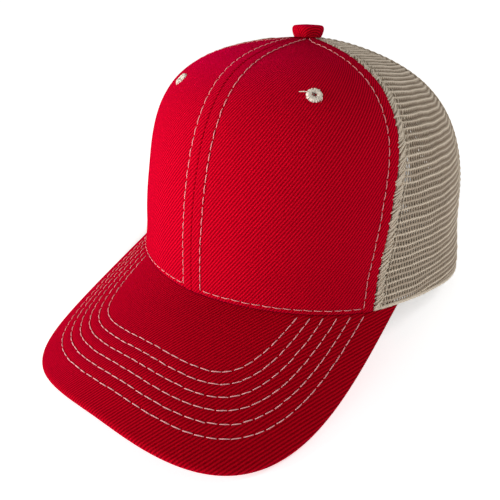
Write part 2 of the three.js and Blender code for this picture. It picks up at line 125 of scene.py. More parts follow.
def to_row(points):
    """Crown frame in millimetres to row frame in metres."""
    p = np.asarray(points, float)
    c, s = math.cos(SEAT_TILT), math.sin(SEAT_TILT)
    x, y, z = p[..., 0], p[..., 1], p[..., 2]
    return np.stack([x, c * y + s * z + SEAT_Y, -s * y + c * z + SEAT_Z], -1) / 1000


def smooth(t):
    k = np.clip(t, 0, 1)
    return k * k * (3 - 2 * k)


def bell(distance, width):
    return np.exp(-((distance / width) ** 2))


def unit(vectors):
    return vectors / np.maximum(np.linalg.norm(vectors, axis=-1, keepdims=True), 1e-9)


def signed_power(value, power):
    return np.sign(value) * np.abs(value) ** power


def lengths_along(line):
    """Lengths along a line of points, from its start."""
    step = np.linalg.norm(np.diff(line, axis=0), axis=1)
    return np.concatenate([[0], np.cumsum(step)])


def to_front(angle):
    """The angle brought to the half turn on each side of the front."""
    return (angle + PI) % (2 * PI) - PI


def rim_plan(angle):
    ahead = np.cos(angle) > 0
    reach = np.where(ahead, RIM_FRONT, RIM_BACK)
    power = np.where(ahead, RIM_FRONT_POWER, RIM_BACK_POWER)
    total = np.abs(np.cos(angle) / reach) ** power + np.abs(np.sin(angle) / RIM_HALF) ** power
    radius = total ** (-1 / power)
    return np.sin(angle) * radius, -np.cos(angle) * radius


def visor_height(x, y):
    across = np.minimum(np.abs(x) / VISOR_ARCH, 0.999)
    sag = VISOR_ARCH * (1 - np.sqrt(1 - across ** 2)) / math.cos(VISOR_PITCH)
    return VISOR_ROOT_Z + (y + RIM_FRONT) * math.tan(VISOR_PITCH) - sag


def rim_height(angle):
    leave, settle = SIDE_SEAM + math.radians(6), SIDE_SEAM + math.radians(45)
    around = np.abs(to_front(np.asarray(angle)))
    x, y = rim_plan(np.minimum(around, leave))
    return visor_height(x, y) * (1 - smooth((around - leave) / (settle - leave)))


def profile(angle, key):
    front, side, back = PROFILES[key]
    f, b = smooth(np.cos(angle)), smooth(-np.cos(angle))
    return f * front + b * back + (1 - f - b) * side


def reach_at(angle, s):
    close = np.maximum(np.cos(s * PI / 2), 0) ** (2 / profile(angle, "run"))
    bulge = profile(angle, "bulge") * np.sin(PI * s)
    shoulder = profile(angle, "shoulder") * np.sin(2 * PI * s)
    return close + bulge + shoulder


def settled(reach, angle, height, z):
    """The reach with its rear corners flared near the rim and its flanks drawn in."""
    ahead = np.abs(to_front(angle))
    corner = smooth(1 - np.abs(ahead - FLARE_ANGLE) / FLARE_SPREAD)
    reach = reach * (1 + FLARE * corner * (1 - smooth(height / FLARE_HEIGHT)))
    flank = smooth(1 - np.abs(ahead - HOLLOW_ANGLE) / HOLLOW_SPREAD)
    level = smooth(height / HOLLOW_FOOT) * (1 - smooth((z - HOLLOW_MIDDLE) / HOLLOW_HEAD))
    return reach * (1 - HOLLOW * flank * level)


def crown_skin(angle, s):
    """A point of the crown's cloth: s runs from 0 at the rim to 1 at the apex."""
    x, y = rim_plan(angle)
    base = rim_height(angle)
    reach = reach_at(angle, s)
    rise = np.maximum(np.sin(s * PI / 2), 0) ** (2 / profile(angle, "rise"))
    peak = PEAK * np.exp(-((reach * 80 / PEAK_RADIUS) ** 2))
    z = base + (CROWN_HEIGHT - PEAK - base) * rise + peak
    reach = settled(reach, angle, z - base, z)
    return np.stack([reach * x, APEX_Y + reach * (y - APEX_Y), z], -1)


def crown_normal(angle, s):
    step = 1e-3
    low = np.maximum(s - step, 1e-5)
    across = crown_skin(angle + step, s) - crown_skin(angle - step, s)
    along = crown_skin(angle, low + 2 * step) - crown_skin(angle, low)
    return unit(np.cross(across, along))


def crown_point(angle, s, lift=0.0):
    """A point of the crown, lifted outwards along its normal."""
    angle, s, lift = np.broadcast_arrays(np.asarray(angle, float), np.asarray(s, float), lift)
    return crown_skin(angle, s) + crown_normal(angle, s) * lift[..., None]


def plan_radius(angle, s):
    x, y = rim_plan(angle)
    return reach_at(angle, s) * np.hypot(x, y)


def bisect(low, high, is_low):
    """Halves the ranges of whole arrays at once; is_low says where the answer lies higher."""
    a, b = np.array(low, float), np.array(high, float)
    for _ in range(36):
        mid = (a + b) / 2
        below = is_low(mid)
        a, b = np.where(below, mid, a), np.where(below, b, mid)
    return (a + b) / 2


def s_at_radius(angle, radius):
    one = np.ones_like(np.asarray(angle, float))
    return bisect(0.5 * one, one, lambda s: plan_radius(angle, s) > radius)


def s_at_height(angle, height):
    share = height / (CROWN_HEIGHT - PEAK - rim_height(angle))
    return np.arcsin(np.clip(share, 0, 1) ** (profile(angle, "rise") / 2)) * 2 / PI


def angle_at_x(x, height):
    """The angle round the back of the crown, past the side, at which it has a given x."""
    x, height = np.broadcast_arrays(np.asarray(x, float), np.asarray(height, float))
    one = np.ones_like(x)
    low = bisect(PI / 2 * one, PI * one,
                 lambda a: crown_skin(a, s_at_height(a, height))[..., 0] > np.abs(x))
    return np.where(x < 0, 2 * PI - low, low)


def side_seam(s):
    return SIDE_SEAM + SIDE_BOW * np.sin(PI * s)


def center_seam(s):
    return 0 * s


def rear_seam(s):
    return REAR_SEAM + 0 * s


def back_seam(s):
    return PI + 0 * s


SEAMS = {"center": center_seam, "side": side_seam, "rear": rear_seam, "back": back_seam}


def arc_table(angle):
    """Lengths up the crown's profile at an angle, with the s values that they belong to."""
    s = np.linspace(0, 1, 500) ** 1.2
    return lengths_along(crown_skin(np.full_like(s, angle), s)), s


def s_over_opening(margin, s):
    """Where the back seam stands a margin above the back opening, found among s values."""
    return float(np.interp(OPENING_HEIGHT + margin, crown_skin(PI + 0 * s, s)[:, 2], s))


def side_name(side):
    return "left" if side > 0 else "right"


# ---- meshes ----

def make_piece(name, points, faces, material, slot, cloth, body="cap"):
    """One visible piece from points and faces. cloth holds its flat coordinates in millimetres."""
    mesh = bpy.data.meshes.new(name)
    mesh.from_pydata(to_row(points).reshape(-1, 3).tolist(), [], [list(map(int, f)) for f in faces])
    mesh.polygons.foreach_set("use_smooth", np.ones(len(mesh.polygons), bool))
    layer = mesh.attributes.new("cloth", "FLOAT_VECTOR", "POINT")
    flat = np.zeros((len(mesh.vertices), 3))
    flat[:, :2] = np.asarray(cloth).reshape(-1, 2)
    layer.data.foreach_set("vector", flat.ravel())
    mesh.materials.append(material)
    piece = bpy.data.objects.new(name, mesh)
    bpy.context.scene.collection.objects.link(piece)
    if body:
        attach(piece, body)
    return piece


def grid_faces(rows, columns, start=0, wrap=False, flip=False):
    """Quads of a grid of points stored row by row; wrap joins the last column to the first."""
    r = np.arange(rows - 1)[:, None]
    c = np.arange(columns if wrap else columns - 1)[None, :]
    a, b = r * columns + c, r * columns + (c + 1) % columns
    quads = np.stack([a, b, b + columns, a + columns], -1).reshape(-1, 4) + start
    return quads[:, ::-1] if flip else quads


def tube_faces(rings, sides, start=0):
    """Faces of a tube stored ring by ring, closed by a cap at each end."""
    faces = grid_faces(rings, sides, start, wrap=True).tolist()
    faces.append([start + k for k in range(sides)][::-1])
    faces.append([start + (rings - 1) * sides + k for k in range(sides)])
    return faces


def thick_sheet(outer, inner, quads):
    """A closed sheet between two lists of points that the same quads join, walled round its edges."""
    count = len(outer)
    edges = np.concatenate([quads[:, [k, (k + 1) % 4]] for k in range(4)])
    key = np.sort(edges, axis=1) @ np.array([count, 1])
    _, first, times = np.unique(key, return_index=True, return_counts=True)
    rim = edges[first[times == 1]]
    walls = np.stack([rim[:, 1], rim[:, 0], rim[:, 0] + count, rim[:, 1] + count], -1)
    return np.concatenate([outer, inner]), np.concatenate([quads, quads[:, ::-1] + count, walls])


def slab(outer, inner, keep=None):
    """A closed sheet between two grids of points. keep says which quads stay; the rest are holes."""
    quads = grid_faces(*outer.shape[:2])
    if keep is not None:
        quads = quads[keep.ravel()]
    return thick_sheet(outer.reshape(-1, 3), inner.reshape(-1, 3), quads)


def tidy(points, faces, flat):
    """Drops the points that no face uses."""
    used, place = np.unique(faces, return_inverse=True)
    return points[used], place.reshape(np.shape(faces)), flat[used]


def sided(points, faces, side):
    """A piece built for the wearer's left, mirrored if it is for the right."""
    if side > 0:
        return points, faces
    return points * np.array([-1, 1, 1]), np.asarray(faces)[:, ::-1]


def double(flat):
    """Flat coordinates for a slab's two faces."""
    return np.concatenate([flat.reshape(-1, 2)] * 2)


def apply_modifiers(piece):
    graph = bpy.context.evaluated_depsgraph_get()
    made = bpy.data.meshes.new_from_object(piece.evaluated_get(graph))
    piece.modifiers.clear()
    piece.data = made


def turn_out(piece):
    """Makes all faces of a closed piece face outwards."""
    work = bmesh.new()
    work.from_mesh(piece.data)
    bmesh.ops.recalc_face_normals(work, faces=work.faces)
    work.to_mesh(piece.data)
    work.free()


# ---- materials ----

class Nodes:
    """A short way to write a node material."""

    def __init__(self, name):
        self.material = bpy.data.materials.new(name)
        self.material.use_nodes = True
        self.tree = self.material.node_tree
        self.shader = self.tree.nodes["Principled BSDF"]

    def node(self, kind, **settings):
        made = self.tree.nodes.new(kind)
        for key, value in settings.items():
            setattr(made, key, value)
        return made

    def put(self, socket, value):
        if isinstance(value, bpy.types.NodeSocket):
            self.tree.links.new(value, socket)
        else:
            socket.default_value = value

    def math(self, operation, a, b=0.0, c=None):
        made = self.node("ShaderNodeMath", operation=operation)
        self.put(made.inputs[0], a)
        self.put(made.inputs[1], b)
        if c is not None:
            self.put(made.inputs[2], c)
        return made.outputs[0]

    def add(self, a, b):
        return self.math("ADD", a, b)

    def minus(self, a, b):
        return self.math("SUBTRACT", a, b)

    def times(self, a, b):
        return self.math("MULTIPLY", a, b)

    def scaled(self, value, by, plus):
        return self.math("MULTIPLY_ADD", value, by, plus)

    def flat(self):
        """The cloth's own flat coordinates, across and up, in millimetres."""
        place = self.node("ShaderNodeAttribute", attribute_name="cloth")
        parts = self.node("ShaderNodeSeparateXYZ")
        self.put(parts.inputs[0], place.outputs["Vector"])
        return parts.outputs[0], parts.outputs[1], place.outputs["Vector"]

    def object_mm(self):
        """Object coordinates in millimetres."""
        place = self.node("ShaderNodeTexCoord")
        scale = self.node("ShaderNodeVectorMath", operation="SCALE")
        self.put(scale.inputs[0], place.outputs["Object"])
        scale.inputs["Scale"].default_value = 1000
        return scale.outputs[0]

    def reach(self, where, middle, half):
        """How far a place is from a middle, counted in half widths."""
        gap = self.node("ShaderNodeVectorMath", operation="SUBTRACT")
        self.put(gap.inputs[0], where)
        gap.inputs[1].default_value = middle
        share = self.node("ShaderNodeVectorMath", operation="DIVIDE")
        self.put(share.inputs[0], gap.outputs[0])
        share.inputs[1].default_value = half
        length = self.node("ShaderNodeVectorMath", operation="LENGTH")
        self.put(length.inputs[0], share.outputs[0])
        return length.outputs["Value"]

    def noise(self, where, size, detail=3.0, rough=0.55):
        """Noise with features of about a size in millimetres."""
        made = self.node("ShaderNodeTexNoise")
        self.put(made.inputs["Vector"], where)
        made.inputs["Scale"].default_value = 1 / size
        made.inputs["Detail"].default_value = detail
        made.inputs["Roughness"].default_value = rough
        return made.outputs["Fac"]

    def wave(self, along, pitch, blur=None, amount=0.0):
        """A sine from 0 to 1 with a pitch in millimetres, its phase shaken by blur."""
        turns = self.math("DIVIDE", along, pitch)
        if blur is not None:
            turns = self.add(turns, self.times(blur, amount))
        swing = self.math("SINE", self.times(turns, 2 * PI))
        return self.scaled(swing, 0.5, 0.5)

    def mix(self, amount, a, b):
        made = self.node("ShaderNodeMix", data_type="RGBA")
        self.put(made.inputs[0], amount)
        self.put(made.inputs[6], a)
        self.put(made.inputs[7], b)
        return made.outputs[2]

    def ramp(self, value, low, high):
        made = self.node("ShaderNodeMapRange", interpolation_type="SMOOTHSTEP")
        self.put(made.inputs["Value"], value)
        made.inputs["From Min"].default_value = low
        made.inputs["From Max"].default_value = high
        return made.outputs["Result"]

    def bump(self, height, depth, strength=1.0):
        """Bump with a depth in millimetres."""
        made = self.node("ShaderNodeBump")
        made.inputs["Strength"].default_value = strength
        made.inputs["Distance"].default_value = depth / 1000
        self.put(made.inputs["Height"], height)
        self.put(self.shader.inputs["Normal"], made.outputs[0])

    def finish(self, color, roughness, **sockets):
        self.put(self.shader.inputs["Base Color"], color)
        self.put(self.shader.inputs["Roughness"], roughness)
        for key, value in sockets.items():
            self.put(self.shader.inputs[key.replace("_", " ")], value)
        return self.material


def twill_material(name, angle, dark, bright):
    """Red polyester twill: diagonal wales, each a rope of short floats."""
    n = Nodes(name)
    u, v, flat = n.flat()
    c, s = math.cos(angle), math.sin(angle)
    cross = n.minus(n.times(u, s), n.times(v, c))
    along = n.add(n.times(u, c), n.times(v, s))
    shake = n.noise(flat, 6.0)
    wale = n.wave(cross, TWILL_PITCH, shake, 0.35)
    lean = n.add(along, n.times(cross, 0.8))
    float_wave = n.wave(lean, 0.62, n.noise(flat, 1.5), 0.4)
    fuzz = n.noise(flat, 0.35, 2.0)
    height = n.add(n.times(wale, 0.75), n.times(float_wave, 0.16))
    height = n.add(height, n.times(fuzz, 0.12))
    n.bump(height, 0.26)
    speck = n.noise(flat, 0.7, 2.0)
    # The colour follows the relief: lighter on the wales' crests and along the floats, darker in the
    # furrows between them, which is painted highlight and shade; the fuzz, specks and wide patches are the
    # yarn's own uneven tone.
    tone = n.times(n.ramp(wale, 0.0, 0.95), n.scaled(fuzz, 0.5, 0.50))
    tone = n.add(tone, n.scaled(speck, 0.9, -0.36))
    tone = n.times(tone, n.scaled(float_wave, 0.32, 0.82))
    patch = n.scaled(n.noise(flat, 38.0), 0.22, 0.86)
    color = n.mix(n.times(tone, patch), dark, bright)
    rough = n.scaled(float_wave, 0.12, 0.58)
    return n.finish(color, rough, Sheen_Weight=0.35, Sheen_Roughness=0.45,
                    Sheen_Tint=(1.0, 0.0, 0.12, 1), Specular_IOR_Level=0.0)


def knit_material(name, dark, bright):
    """Cream polyester yarn of the mesh: fine twisted filaments, with painted highlight on the ridges and
    painted shade round the slits.
    """
    n = Nodes(name)
    where = n.object_mm()
    yarn = n.noise(where, 0.45, 3.0)
    patch = n.noise(where, 16.0)
    # The cloth attribute's second value is the cord height; it paints the yarn lighter on the cords and
    # darker round the slits.
    _, cord_height, _ = n.flat()
    ridge_highlight = n.ramp(cord_height, 0.1, 1.0)
    tone = n.scaled(yarn, 0.35, n.times(ridge_highlight, 0.65))
    tone = n.times(tone, n.scaled(patch, 0.35, 0.82))
    n.bump(yarn, 0.12)
    return n.finish(n.mix(tone, dark, bright), 0.62, Sheen_Weight=0.15, Specular_IOR_Level=0.3)


def thread_material(name, dark, bright):
    """Two-ply sewing thread: a fine helix of highlights along each stitch."""
    n = Nodes(name)
    u, v, _ = n.flat()
    ply = n.wave(n.add(u, n.times(v, 0.9)), 0.42)
    fuzz = n.noise(n.object_mm(), 0.3, 2.0)
    n.bump(n.add(ply, fuzz), 0.05)
    tone = n.scaled(ply, 0.55, n.times(fuzz, 0.6))
    return n.finish(n.mix(tone, dark, bright), 0.5, Specular_IOR_Level=0.4)


def woven_material(name, dark, bright, pitch, rough=0.85, depth=0.12):
    """Plain-woven cloth or tape: crossing warp and weft."""
    n = Nodes(name)
    u, v, flat = n.flat()
    blur = n.noise(flat, 2.5)
    warp, weft = n.wave(u, pitch, blur, 0.3), n.wave(v, pitch, blur, 0.3)
    weave = n.times(warp, weft)
    fuzz = n.noise(flat, 0.4, 2.0)
    n.bump(n.add(weave, n.times(fuzz, 0.4)), depth)
    tone = n.scaled(weave, 0.5, n.times(fuzz, 0.5))
    return n.finish(n.mix(tone, dark, bright), rough, Sheen_Weight=0.2)


def plastic_material(name, dark, bright, rough=0.42):
    """Soft moulded polyethylene with a fine grain and faint flow marks."""
    n = Nodes(name)
    where = n.object_mm()
    grain, flow = n.noise(where, 0.25, 2.0), n.noise(where, 9.0)
    n.bump(n.add(grain, n.times(flow, 2.0)), 0.02)
    wear = n.scaled(grain, 0.1, rough - 0.05)
    return n.finish(n.mix(flow, dark, bright), wear, Specular_IOR_Level=0.45)


def steel_material(name):
    """Pressed steel with fine scratches."""
    n = Nodes(name)
    where = n.object_mm()
    scratch = n.noise(where, 0.5, 5.0, 0.7)
    n.bump(scratch, 0.01)
    rough = n.scaled(scratch, 0.3, 0.2)
    return n.finish(n.mix(scratch, (0.42, 0.42, 0.43, 1), (0.62, 0.62, 0.63, 1)), rough, Metallic=1.0)


# The twill's dark red is the furrows' painted shade and its bright red the crests' painted highlight.
TWILL = twill_material("twill", TWILL_ANGLE, (0.21, 0.0, 0.004, 1), (0.69, 0.002, 0.017, 1))
# The visor's cover is the crown's twill given darker colours: painted shade.
VISOR_TWILL = twill_material("visor_twill", VISOR_TWILL_ANGLE,
                             (0.19, 0.0, 0.003, 1), (0.58, 0.002, 0.012, 1))
KNIT = knit_material("knit", (0.24, 0.17, 0.11, 1), (0.92, 0.79, 0.62, 1))
KNIT_EDGE = thread_material("knit_edge", (0.40, 0.31, 0.22, 1), (0.88, 0.77, 0.62, 1))
THREAD = thread_material("thread", (0.50, 0.41, 0.32, 1), (0.94, 0.87, 0.76, 1))
SEAM_THREAD = thread_material("seam_thread", (0.68, 0.21, 0.21, 1), (1.0, 0.42, 0.44, 1))
VISOR_THREAD = thread_material("visor_thread", (0.74, 0.29, 0.30, 1), (1.0, 0.54, 0.55, 1))
TAPE = woven_material("tape", (0.42, 0.35, 0.26, 1), (0.72, 0.65, 0.53, 1), 0.7)
SWEAT = woven_material("sweat_cloth", (0.46, 0.40, 0.30, 1), (0.76, 0.69, 0.57, 1), 0.5)
BUCKRAM = woven_material("buckram", (0.38, 0.36, 0.32, 1), (0.80, 0.78, 0.73, 1), 1.3, 0.9, 0.2)
PLASTIC = plastic_material("strap_plastic", (0.56, 0.49, 0.38, 1), (0.66, 0.59, 0.47, 1))
BOARD = plastic_material("board_plastic", (0.70, 0.68, 0.62, 1), (0.80, 0.78, 0.72, 1), 0.6)
STEEL = steel_material("steel")


# ---- stitches ----

STITCH_RINGS, STITCH_SIDES = 7, 6


def stitch(line, normals, along, at, width):
    """One stitch: a thread arched over the cloth between two needle holes. Returns points and flat."""
    t, turn = np.linspace(0, 1, STITCH_RINGS), np.arange(STITCH_SIDES) * 2 * PI / STITCH_SIDES
    middle = np.stack([np.interp(at, along, line[:, k]) for k in range(3)], -1)
    normal = unit(np.stack([np.interp(at, along, normals[:, k]) for k in range(3)], -1))
    side = np.cross(normal, unit(np.gradient(middle, axis=0)))
    drift = RANDOM.normal(0, STITCH_WANDER, 2)
    arch = np.sin(PI * t) ** 0.6 * 0.3 - 0.17
    astray = (drift[0] + (drift[1] - drift[0]) * t)[:, None]
    middle = middle + normal * arch[:, None] + side * astray * 0.6
    girth = width / 2 * (0.55 + 0.45 * np.sin(PI * np.clip(t, 0.04, 0.96)) ** 0.4)
    ring = (side[:, None] * np.cos(turn)[None, :, None] * girth[:, None, None]
            + normal[:, None] * np.sin(turn)[None, :, None] * girth[:, None, None] * 0.75)
    flat = np.stack(np.broadcast_arrays(at[:, None], turn[None, :] * girth[:, None]), -1)
    return (middle[:, None] + ring).reshape(-1, 3), flat.reshape(-1, 2)


def stitch_run(line, normals, pitch=STITCH_PITCH, gap=STITCH_GAP, width=STITCH_WIDTH):
    """Separate stitches along a line of points with surface normals. Returns points, faces, flat."""
    along = lengths_along(line)
    count = max(int(along[-1] / pitch), 1)
    true_pitch = along[-1] / count
    points, flats, faces = [], [], []
    for i in range(count):
        start = (i + 0.5) * true_pitch - (true_pitch - gap) / 2 + RANDOM.normal(0, 0.08)
        long = true_pitch - gap + RANDOM.normal(0, 0.12)
        made, flat = stitch(line, normals, along, start + np.linspace(0, 1, STITCH_RINGS) * long, width)
        points.append(made)
        flats.append(flat)
        faces += tube_faces(STITCH_RINGS, STITCH_SIDES, i * STITCH_RINGS * STITCH_SIDES)
    return np.concatenate(points), faces, np.concatenate(flats)


def gather(runs):
    """Joins several (points, faces, flat) lists into one."""
    points, faces, flats, count = [], [], [], 0
    for p, f, c in runs:
        points.append(p)
        flats.append(c)
        faces.extend([[int(i) + count for i in face] for face in f])
        count += len(p)
    return np.concatenate(points), faces, np.concatenate(flats)


def stitching(name, runs, material=THREAD, slot="thread"):
    points, faces, flats = gather(runs)
    return make_piece(name, points, faces, material, slot, flats)


def crown_line(angle, s, lift):
    """A run's points on the crown and the normals there."""
    return crown_point(angle, s, lift), crown_normal(angle, s)


# ---- crown panels ----

def panel_angles(front, back, s, near_front, near_back, middle):
    """Angles across a panel, row by row, and each point's distance from its two seams.

    Columns lie at set distances from the seams (near_front, near_back), drawn closer near the apex,
    and middle more of them share what is left between.
    """
    start, end = SEAMS[front](s), SEAMS[back](s)
    center = (start + end) / 2
    radius = plan_radius(center, s)
    width = (end - start) * radius
    squeeze = np.minimum(1, width / (near_front[-1] + near_back[-1] + 2.5))
    left = near_front[None, :] * squeeze[:, None]
    right = (width - near_back[::-1][None, :].T * squeeze).T
    t = np.linspace(0, 1, middle + 2)[1:-1]
    between = left[:, -1:] + (right[:, :1] - left[:, -1:]) * t
    across = np.concatenate([left, between, right], axis=1)
    angle = start[:, None] + across / radius[:, None]
    from_front = across / squeeze[:, None]
    from_back = (width[:, None] - across) / squeeze[:, None]
    return angle, from_front, from_back


def climb(angle, s):
    """Arc length up the crown at each point of a grid, from its first row."""
    line = crown_skin(angle, s)
    step = np.linalg.norm(np.diff(line, axis=0), axis=2)
    return np.concatenate([np.zeros((1, angle.shape[1])), np.cumsum(step, axis=0)])


def groove(distance, along, depth=0.34, width=0.55, pitch=STITCH_PITCH):
    """The furrow that a row of stitches pulls into cloth, deeper at each needle hole."""
    return -depth * bell(distance, width) * (0.75 + 0.25 * np.cos(2 * PI * along / pitch))


def ripple(angle, along, seed):
    """Slow, shallow undulation of a sewn panel, in millimetres."""
    phase = np.random.default_rng(seed).uniform(0, 2 * PI, 6)
    wide = np.sin(angle * 5.0 + phase[0] + 0.03 * along) * np.sin(along / 17 + phase[1])
    fine = np.sin(angle * 11.0 + phase[2] - along / 14) * np.sin(along / 9.5 + phase[3])
    return 0.22 * wide + 0.08 * fine


def panel_rows(angle, lowest, step):
    """s values up a panel: close together at its foot, then a step apart, up to the apex hole."""
    lengths, s = arc_table(angle)
    top = np.interp(s_at_radius(np.array(angle), APEX_HOLE), s, lengths)
    foot = np.array([0, 0.25, 0.6, 1.0, 1.5, 2.0, 2.4, 2.8, 3.3, 4.0])
    rest = np.linspace(foot[-1], top - lowest, int((top - lowest) / step))[1:]
    return np.interp(lowest + np.concatenate([foot, rest]), lengths, s)


def eyelet_frame(side):
    """The middle of an eyelet, the crown's normal there, and two directions along the cloth."""
    angle, s = np.array(side * EYELET_ANGLE + EYELET_SHIFT), np.array(EYELET_ALONG)
    point, normal = crown_skin(angle, s), crown_normal(angle, s)
    across = unit(np.cross(np.array([0, 0, 1.0]), normal))
    return point, normal, across, np.cross(normal, across)


def twill_flat(angle, along, center):
    """Flat coordinates of twill, whose grain turns slowly across a panel."""
    turn = angle - center
    across = turn * OUTER_RADIUS
    return np.stack([across, along + GRAIN_TURN / 2 * across * turn], -1)


def front_relief(to_center, to_side, along, angle):
    """How high the front cloth stands: seam allowances, furrows of the stitch rows, and turned edges."""
    lift = 0.22 * (1 - smooth((to_center - 4.2) / 1.3))
    lift += 0.42 * smooth(to_side / 0.7) * (1 - smooth((to_side - 5.1) / 1.4))
    lift -= 0.34 * bell(to_center, 0.3) + 0.5 * bell(to_side, 0.45) + 0.45 * bell(along, 0.7)
    lift += groove(to_center - CENTER_ROWS, along) + groove(to_side - SIDE_ROW, along)
    return lift + 0.8 * groove(along - RIM_ROW, angle * OUTER_RADIUS) + 0.1


def front_panel(side):
    edge = [0, .15, .35, .6, .95, 1.4, 2]
    seam_side = np.array(edge + [2.8, 3.7, 4.5, 5, 5.4, 5.7, 5.9, 6.1, 6.4, 6.8, 7.4])
    center_side = np.array(edge + [2.7, 3.4, 3.9, 4.3, 4.6, 4.8, 5, 5.3, 5.7, 6.3])
    s = panel_rows(math.radians(26), 0, 1.15)
    angle, to_center, to_side = panel_angles("center", "side", s, center_side, seam_side, 62)
    grid_s = s[:, None] + 0 * angle
    along = climb(angle, grid_s)
    lift = ripple(angle * side, along, 3 + side) * smooth(to_center / 14) * smooth(to_side / 14)
    lift += front_relief(to_center, to_side, along, angle)
    outer = crown_point(angle, grid_s, lift)
    inner = crown_point(angle, grid_s, lift - FRONT_THICK)
    point = eyelet_frame(side)[0] * np.array([side, 1, 1])
    middle = (outer[:-1, :-1] + outer[1:, 1:]) / 2
    keep = np.linalg.norm(middle - point, axis=-1) > EYELET_CUT
    points, faces = slab(outer, inner, keep)
    flat = double(twill_flat(angle * side, along, SIDE_SEAM / 2 * side))
    points, faces, flat = tidy(points, faces, flat)
    points, faces = sided(points, faces, side)
    name = side_name(side)
    piece = make_piece(f"front_cloth_{name}", points, faces, TWILL, "twill", flat)
    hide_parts(f"front_panel_{name}")


def front_stitches(side):
    """The rows sewn beside the centre seam, the side seam and the rim of one front panel."""
    s = np.linspace(0.004, SEAM_TOP, 260)
    radius = plan_radius(side * 0.4 + 0 * s, s)
    center_angle = side * np.minimum(CENTER_ROWS, 0.4 * radius) / radius
    seam_radius = plan_radius(side_seam(s), s)
    side_angle = side * (side_seam(s) - np.minimum(SIDE_ROW, 0.35 * seam_radius) / seam_radius)
    around = side * np.linspace(0.06, side_seam(0.02) - 0.08, 160)
    rows = (center_angle, s, 0.3), (side_angle, s, 0.36), (around, s_at_height(around, RIM_ROW), 0.2)
    return [stitch_run(*crown_line(*row), width=SEAM_STITCH_WIDTH) for row in rows]


def buckram(side):
    """The stiffener inside a front panel, ending short of its seams and of the apex."""
    s = panel_rows(math.radians(26), 1.0, 2.6)[:-6]
    t = np.linspace(0, 1, 34)
    edge = side_seam(s) - BUCKRAM_MARGIN / plan_radius(side_seam(s), s)
    angle = 0.004 + (edge[:, None] - 0.004) * t
    grid_s = s[:, None] + 0 * angle
    along = climb(angle, grid_s)
    outer = crown_point(angle, grid_s, -BUCKRAM_OUTSIDE)
    points, faces = slab(outer, crown_point(angle, grid_s, -BUCKRAM_INSIDE))
    points, faces = sided(points, faces, side)
    name = side_name(side)
    flat = double(np.stack([angle * OUTER_RADIUS, along], -1))
    piece = make_piece(f"stiffener_{name}", points, faces, BUCKRAM, "buckram", flat)
    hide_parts(f"front_buckram_{name}")


# ---- mesh panels ----

class MeshMap:
    """Turns a mesh panel's flat coordinates (across, height of the knit) into crown angles and s."""

    def __init__(self, front, back):
        self.front, self.back = SEAMS[front], SEAMS[back]
        margin = 0.12
        self.angles = np.linspace(self.front(0.0) - margin, self.back(0.0) + margin, 48)
        self.heights = np.linspace(-12, 190, 420)
        s = np.linspace(0, 1, 600)
        self.table = np.array([self.column(angle, s) for angle in self.angles])

    def column(self, angle, s):
        """The s at each of the map's heights, at one angle."""
        lengths = lengths_along(crown_skin(np.full_like(s, angle), s)) + rim_height(np.array(angle))
        return np.interp(self.heights, lengths, s)

    @staticmethod
    def between(value, marks):
        """Which of the even marks lies below a value, and how far on towards the next it is."""
        place = np.clip((value - marks[0]) / (marks[1] - marks[0]), 0, len(marks) - 1.001)
        return place.astype(int), place - place.astype(int)

    def s_at(self, angle, height):
        a, f = self.between(angle, self.angles)
        b, g = self.between(height, self.heights)
        low = self.table[a, b] * (1 - f) + self.table[a + 1, b] * f
        high = self.table[a, b + 1] * (1 - f) + self.table[a + 1, b + 1] * f
        return low * (1 - g) + high * g

    def place(self, across, height, top_s):
        """Angles and s of flat points, and how far each was moved to stay on the panel."""
        middle = (self.front(0.5) + self.back(0.5)) / 2
        angle = middle + across / INNER_RADIUS
        for _ in range(6):
            s = np.minimum(self.s_at(angle, height), top_s)
            angle = middle + across / np.maximum(plan_radius(angle, s), 2.5)
            angle = np.clip(angle, self.angles[0], self.angles[-1])
        inside = np.clip(angle, self.front(s), self.back(s))
        return inside, s, (inside - angle) * plan_radius(inside, s)


def knit_cells(columns, rows):
    """The knit's cells on a flat strip: points, quads by cell, cell middles, and the yarn's heights.

    Each cell is a slit in a ring of eight quads, and every second row is moved across by half a cell.
    Cords run between the rows: every second one stands highest (1.0), the others half as high,
    and the pillars between the slits lie low (0.12 at their middles, 0 round the slits).
    """
    ring = np.array([(0, 0), (.5, 0), (1, 0), (1, .5), (1, 1), (.5, 1), (0, 1), (0, .5)])
    slit = np.array([(.23, .25), (.5, .15), (.77, .25), (.79, .5),
                     (.77, .75), (.5, .85), (.23, .75), (.21, .5)])
    i, j = np.meshgrid(np.arange(columns), np.arange(rows), indexing="ij")
    corner = np.stack([i - columns / 2 + (j % 2) * 0.5, j.astype(float)], -1).reshape(-1, 1, 2)
    outer, inner = corner + ring, corner + slit
    key = np.round(outer.reshape(-1, 2) * 2).astype(int)
    _, first, place = np.unique(key, axis=0, return_index=True, return_inverse=True)
    shared = outer.reshape(-1, 2)[first]
    count, cells, sides = len(shared), len(corner), len(ring)
    a = place.reshape(cells, sides)
    b = count + np.arange(cells * sides).reshape(cells, sides)
    quads = np.stack([a, np.roll(a, -1, 1), np.roll(b, -1, 1), b], -1)
    points = np.concatenate([shared, inner.reshape(-1, 2)])
    row = np.round(shared[:, 1] * 2).astype(int)
    cords = np.where(row % 4 == 0, 1.0, np.where(row % 4 == 2, 0.5, 0.12))
    heights = np.concatenate([cords, np.zeros(cells * sides)])
    return points, quads, corner[:, 0] + 0.5, heights


def in_arch(x, z, margin=0.0):
    """True inside the arch of the back opening, grown by a margin."""
    wide, high = OPENING_HALF + margin, OPENING_HEIGHT + margin
    return np.abs(x / wide) ** OPENING_POWER + np.abs(np.maximum(z, 0) / high) ** OPENING_POWER < 1


